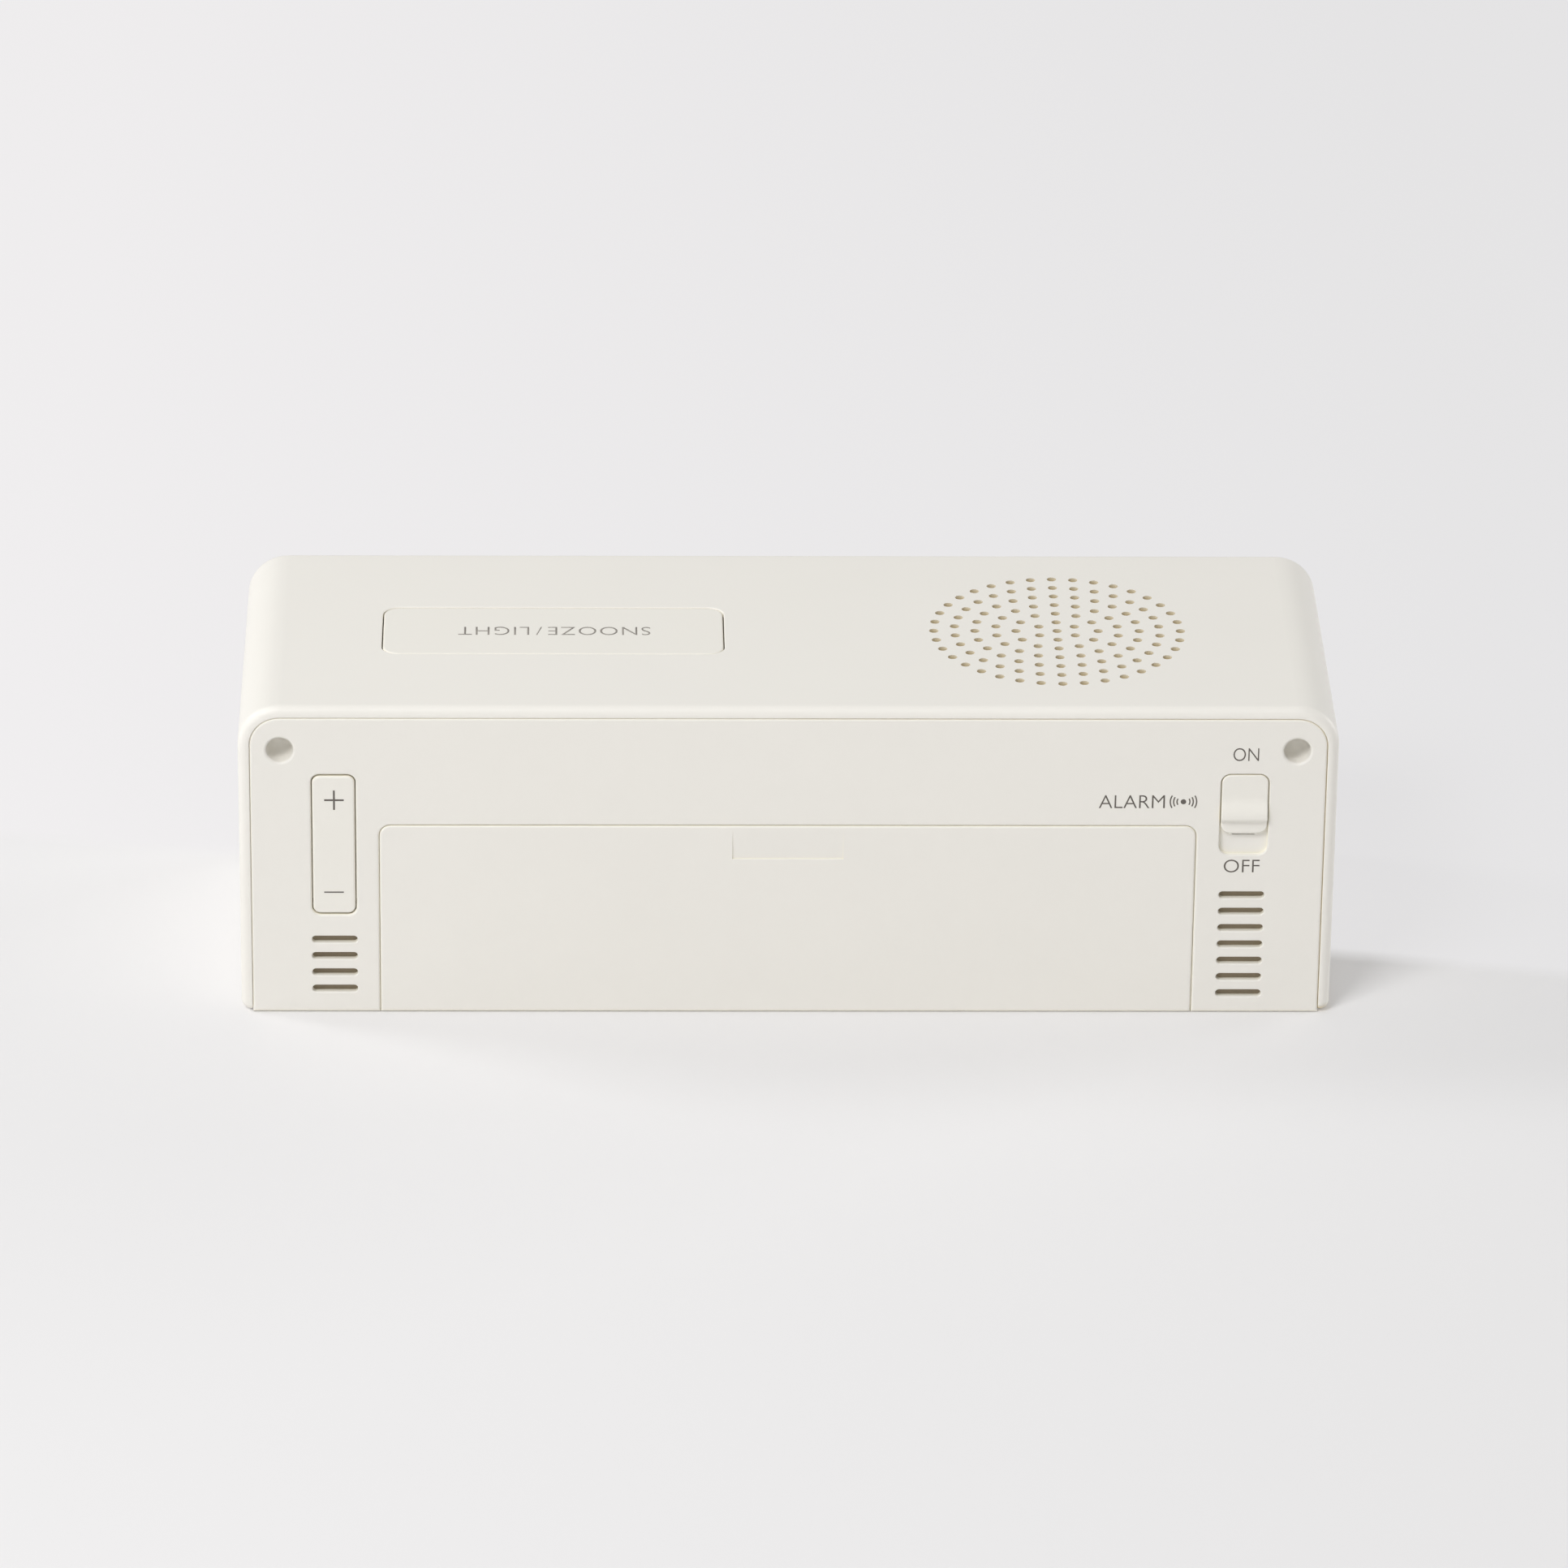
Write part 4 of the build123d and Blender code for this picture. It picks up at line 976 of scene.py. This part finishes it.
@dataclass(frozen=True)
class FigureRow:
    """A row of seven-stroke figures on the display."""

    digits: tuple[int, ...]
    left: float
    low: float
    height: float
    width: float
    stroke: float
    pitch: float
    group_gap: float = 0.0
    group_size: int = 2
    slant: float = math.tan(math.radians(5))
    gap: float = 0.12

    def draw(self, lit: bool) -> bmesh.types.BMesh:
        """Draws the strokes that are on, or the others.

        Args:
            lit: True for the strokes that are on.

        Returns:
            The drawing, flat.
        """
        drawing = bmesh.new()
        for place_number, digit in enumerate(self.digits):
            left = self.left + place_number * self.pitch
            if place_number >= self.group_size:
                left += self.group_gap
            for name in Strokes.EIGHT.value:
                if (name in DIGITS[digit].value) == lit:
                    self.draw_stroke(drawing, left, name)
        return drawing

    def draw_stroke(self, drawing: bmesh.types.BMesh, left: float, name: str) -> None:
        """Adds one pointed stroke of a figure.

        Args:
            drawing: Where it goes.
            left: Left side of the figure.
            name: a to g.
        """
        half = self.stroke / 2
        middle = self.height / 2
        rows = {"a": self.height - half, "g": middle, "d": half}
        columns = {"b": (self.width - half, 1), "c": (self.width - half, 0), "e": (half, 0), "f": (half, 1)}
        trim = half * (1 + self.gap)
        if name in rows:
            row = rows[name]
            span = (trim, self.width - trim)
            points = [(span[0], row), (span[0] + half, row + half), (span[1] - half, row + half),
                      (span[1], row), (span[1] - half, row - half), (span[0] + half, row - half)]
        else:
            column, upper = columns[name]
            low = middle if upper else half
            high = self.height - half if upper else middle
            span = (low + half * self.gap, high - half * self.gap)
            points = [(column, span[0]), (column + half, span[0] + half), (column + half, span[1] - half),
                      (column, span[1]), (column - half, span[1] - half), (column - half, span[0] + half)]
        drawing.faces.new([drawing.verts.new((left + across + self.slant * up, self.low + up, 0))
                           for across, up in points])


@dataclass
class Display(SubAssembly):
    """Front of the clock: bezel, lens with a printed border, and the panel's figures."""

    finishes: dict[str, Finish] = field(default_factory=lambda: {
        "front_bezel": CASE, "display_lens": LENS, "lcd_panel": PANEL, "light_guide": GUIDE,
        "backlight_lamps": LAMP, "contact_strip": STRIP, "display_holder": INNER})
    border_side: float = 6.5 * MM
    border_rise: float = 3.5 * MM
    border_corner: float = 1.6 * MM
    border_steps: int = 6
    border_sunk: float = 0.02 * MM
    time_row: FigureRow = FigureRow((1, 0, 0, 8), left=-53 * MM, low=15.6 * MM, height=18.4 * MM,
                                    width=11.2 * MM, stroke=2.1 * MM, pitch=14.4 * MM, group_gap=5.2 * MM)
    warmth_row: FigureRow = FigureRow((2, 3), left=24.5 * MM, low=26.0 * MM, height=8.0 * MM, width=5.0 * MM,
                                      stroke=0.95 * MM, pitch=6.6 * MM)
    damp_row: FigureRow = FigureRow((4, 6), left=24.5 * MM, low=15.6 * MM, height=8.0 * MM, width=5.0 * MM,
                                    stroke=0.95 * MM, pitch=6.6 * MM)
    colon_size: float = 1.9 * MM
    colon_shares: tuple[float, float] = (0.32, 0.68)
    colon_left: float = -23.2 * MM
    day_level: float = 12.6 * MM
    day_capital: float = 1.7 * MM
    day_pitch: float = 10.6 * MM
    day_left: float = -49.0 * MM
    days: tuple[tuple[str, float], ...] = (
        ("SUN", 5.2 * MM), ("MON", 6.0 * MM), ("TUE", 4.8 * MM), ("WED", 5.7 * MM), ("THU", 5.4 * MM),
        ("FRI", 3.7 * MM), ("SAT", 4.8 * MM))
    units: tuple[tuple[str, Legend, float, float], ...] = (
        ("half_of_day", Legend("AM", 4.0 * MM, 2.0 * MM), 10.6 * MM, 32.6 * MM),
        ("warmth_unit", Legend("°C", 5.6 * MM, 3.6 * MM), 42.6 * MM, 32.0 * MM),
        ("damp_unit", Legend("%", 4.2 * MM, 3.6 * MM), 42.0 * MM, 21.6 * MM),
    )

    def build(self) -> None:
        """Prints the lens border and sets the panel's figures."""
        self.build_border()
        self.build_figures()
        self.build_words()

    def build_border(self) -> None:
        """Prints a border on the inner face of the lens, round the window."""
        low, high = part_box("display_lens")
        middle = (low + high) / 2
        half = (high - low) / 2
        drawing = bmesh.new()
        for size in ((half.x, half.z), (half.x - self.border_side, half.z - self.border_rise)):
            made = bmesh.ops.create_grid(drawing, x_segments=1, y_segments=1, size=1)["verts"]
            bmesh.ops.scale(drawing, verts=made, vec=(*size, 1))
            bmesh.ops.bevel(drawing, geom=made, offset=self.border_corner, affect="VERTICES",
                            segments=self.border_steps, profile=0.5, material=-1)
        bmesh.ops.delete(drawing, geom=drawing.faces[:], context="FACES_ONLY")
        bmesh.ops.bridge_loops(drawing, edges=drawing.edges[:])
        bmesh.ops.recalc_face_normals(drawing, faces=drawing.faces[:])
        thicken(drawing, self.border_sunk)
        spot = Vector((middle.x, high.y - 2 * self.border_sunk, middle.z))
        set_piece("lens_border", place(drawing, Facing.FRONT, spot), MASK, "clock_body")

    def surface(self) -> Vector:
        """Gives the level of the panel's front.

        Returns:
            A point of it, at the middle of the width and at the table.
        """
        return Vector((0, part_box("lcd_panel")[0].y, 0))

    def build_figures(self) -> None:
        """Sets the strokes that are on and, fainter, those at rest."""
        for lit, finish in ((True, FIGURE), (False, REST)):
            for name, row in (("time", self.time_row), ("warmth", self.warmth_row), ("damp", self.damp_row)):
                drawing = row.draw(lit)
                if lit and name == "time":
                    self.draw_colon(drawing)
                bmesh.ops.recalc_face_normals(drawing, faces=drawing.faces[:])
                thicken(drawing, INK_THICKNESS)
                piece_name = f"figures_{name}" if lit else f"figures_{name}_at_rest"
                set_piece(piece_name, place(drawing, Facing.FRONT, self.surface()), finish, "clock_body")

    def draw_colon(self, drawing: bmesh.types.BMesh) -> None:
        """Adds the two dots between hours and minutes.

        Args:
            drawing: Flat drawing of the time.
        """
        for share in self.colon_shares:
            rise = share * self.time_row.height
            dot = bmesh.ops.create_grid(drawing, x_segments=1, y_segments=1, size=self.colon_size / 2)
            across = self.colon_left + self.time_row.slant * rise
            bmesh.ops.translate(drawing, verts=dot["verts"], vec=(across, self.time_row.low + rise, 0))

    def build_words(self) -> None:
        """Sets the small words and units of the panel."""
        days = [(f"day_{day.lower()}", Legend(day, width, self.day_capital),
                 self.day_left + number * self.day_pitch, self.day_level)
                for number, (day, width) in enumerate(self.days)]
        for name, legend, across, up in (*days, *self.units):
            spot = self.surface() + Vector((across, 0, up))
            set_piece(name, place(legend.draw(), Facing.FRONT, spot), FIGURE, "clock_body")


@dataclass
class Lamp:
    """A soft square studio lamp aimed at the clock."""

    name: str
    spot: tuple[float, float, float]
    size: float
    power: float
    aim: tuple[float, float, float] = (0.0, 0.0, 0.02)

    def build(self) -> None:
        """Hangs the lamp."""
        light = bpy.data.lights.new(self.name, "AREA")
        light.shape = "SQUARE"
        light.size = self.size
        light.energy = self.power
        holder = bpy.data.objects.new(self.name, light)
        bpy.context.scene.collection.objects.link(holder)
        away = Vector(self.spot) - Vector(self.aim)
        turn = away.to_track_quat("Z", "Y").to_matrix().to_4x4()
        holder.matrix_world = Matrix.Translation(self.spot) @ turn


@dataclass
class Viewpoint:
    """Camera behind and above the clock, turned as in the photograph."""

    spot: tuple[float, float, float] = (0.02943, 1.1703, 0.59175)
    yaw: float = math.radians(-1.44)
    pitch: float = math.radians(25.925)
    roll: float = math.radians(0.689)
    lens: float = 214.5
    near_clip: float = 0.01
    far_clip: float = 20.0

    def build(self) -> None:
        """Sets the scene's camera."""
        reach = math.cos(self.pitch)
        forward = Vector((math.sin(self.yaw) * reach, -math.cos(self.yaw) * reach, -math.sin(self.pitch)))
        level = forward.cross(Vector((0, 0, 1))).normalized()
        upright = level.cross(forward)
        right = math.cos(self.roll) * level + math.sin(self.roll) * upright
        up = math.cos(self.roll) * upright - math.sin(self.roll) * level
        camera = bpy.data.cameras.new("viewpoint")
        camera.lens = self.lens
        camera.clip_start = self.near_clip
        camera.clip_end = self.far_clip
        holder = bpy.data.objects.new("viewpoint", camera)
        bpy.context.scene.collection.objects.link(holder)
        turn = Matrix((right, up, -forward)).transposed().to_4x4()
        holder.matrix_world = Matrix.Translation(self.spot) @ turn
        bpy.context.scene.camera = holder


@dataclass
class Studio:
    """Pale floor, even surrounding light and soft lamps."""

    floor_size: float = 4.0
    floor_finish: Finish = StudioFloor("studio_floor", shade(231, 230, 230), roughness=0.8, drift=0.004,
                                       drift_size=0.2)
    surround: float = 0.4
    surround_colour: Colour = (1.0, 1.0, 1.0)
    lamps: tuple[Lamp, ...] = (
        Lamp("key_lamp", (0.64, 0.88, 1.31), 0.6, 15.2),
        Lamp("front_lamp", (0.1, 1.5, 0.45), 0.9, 1.3),
        Lamp("left_lamp", (1.2, 0.7, 0.5), 0.5, 1.3),
        Lamp("side_lamp", (1.1, -0.35, 0.75), 0.3, 4.5),
        Lamp("far_lamp", (-1.2, -0.5, 0.18), 0.5, 6.6),
    )
    viewpoint: Viewpoint = field(default_factory=Viewpoint)

    def build(self) -> None:
        """Lays the floor, hangs the lamps and sets the camera."""
        drawing = bmesh.new()
        bmesh.ops.create_grid(drawing, x_segments=1, y_segments=1, size=self.floor_size / 2)
        mesh = bpy.data.meshes.new("studio_floor")
        drawing.to_mesh(mesh)
        drawing.free()
        mesh.materials.append(self.floor_finish.material())
        floor = bpy.data.objects.new("studio_floor", mesh)
        bpy.context.scene.collection.objects.link(floor)
        world = bpy.data.worlds.new("studio")
        world.use_nodes = True
        background = world.node_tree.nodes["Background"]
        background.inputs["Color"].default_value = (*self.surround_colour, 1.0)
        background.inputs["Strength"].default_value = self.surround
        bpy.context.scene.world = world
        for lamp in self.lamps:
            lamp.build()
        self.viewpoint.build()
        bpy.context.scene.view_settings.view_transform = "Standard"
        log.info("built the studio")


SLEEVE = {"case_sleeve": CASE, "rubber_feet": RUBBER}
MAIN_BOARD = {"main_board": BOARD, "board_screws": SCREW, "controller_chip": CHIP, "quartz_crystal": CAN,
              "capacitors": SLEEVE_CAN}
SPEAKER = {"grille_cloth": CLOTH, "speaker_frame": BASKET, "speaker_cone": CONE, "speaker_magnet": FERRITE}


def main() -> None:
    """Builds and dresses every sub-assembly, then the studio."""
    logging.basicConfig(level=logging.INFO, format="%(message)s")
    groups = [SubAssembly(SLEEVE), RearCover(), BatteryBay(), SnoozeBar(), PlusMinusKey(), AlarmSwitch(),
              Display(), SubAssembly(MAIN_BOARD), SubAssembly(SPEAKER)]
    for group in groups:
        group.dress()
        group.build()
    Studio().build()


if __name__ == "__main__":
    main()
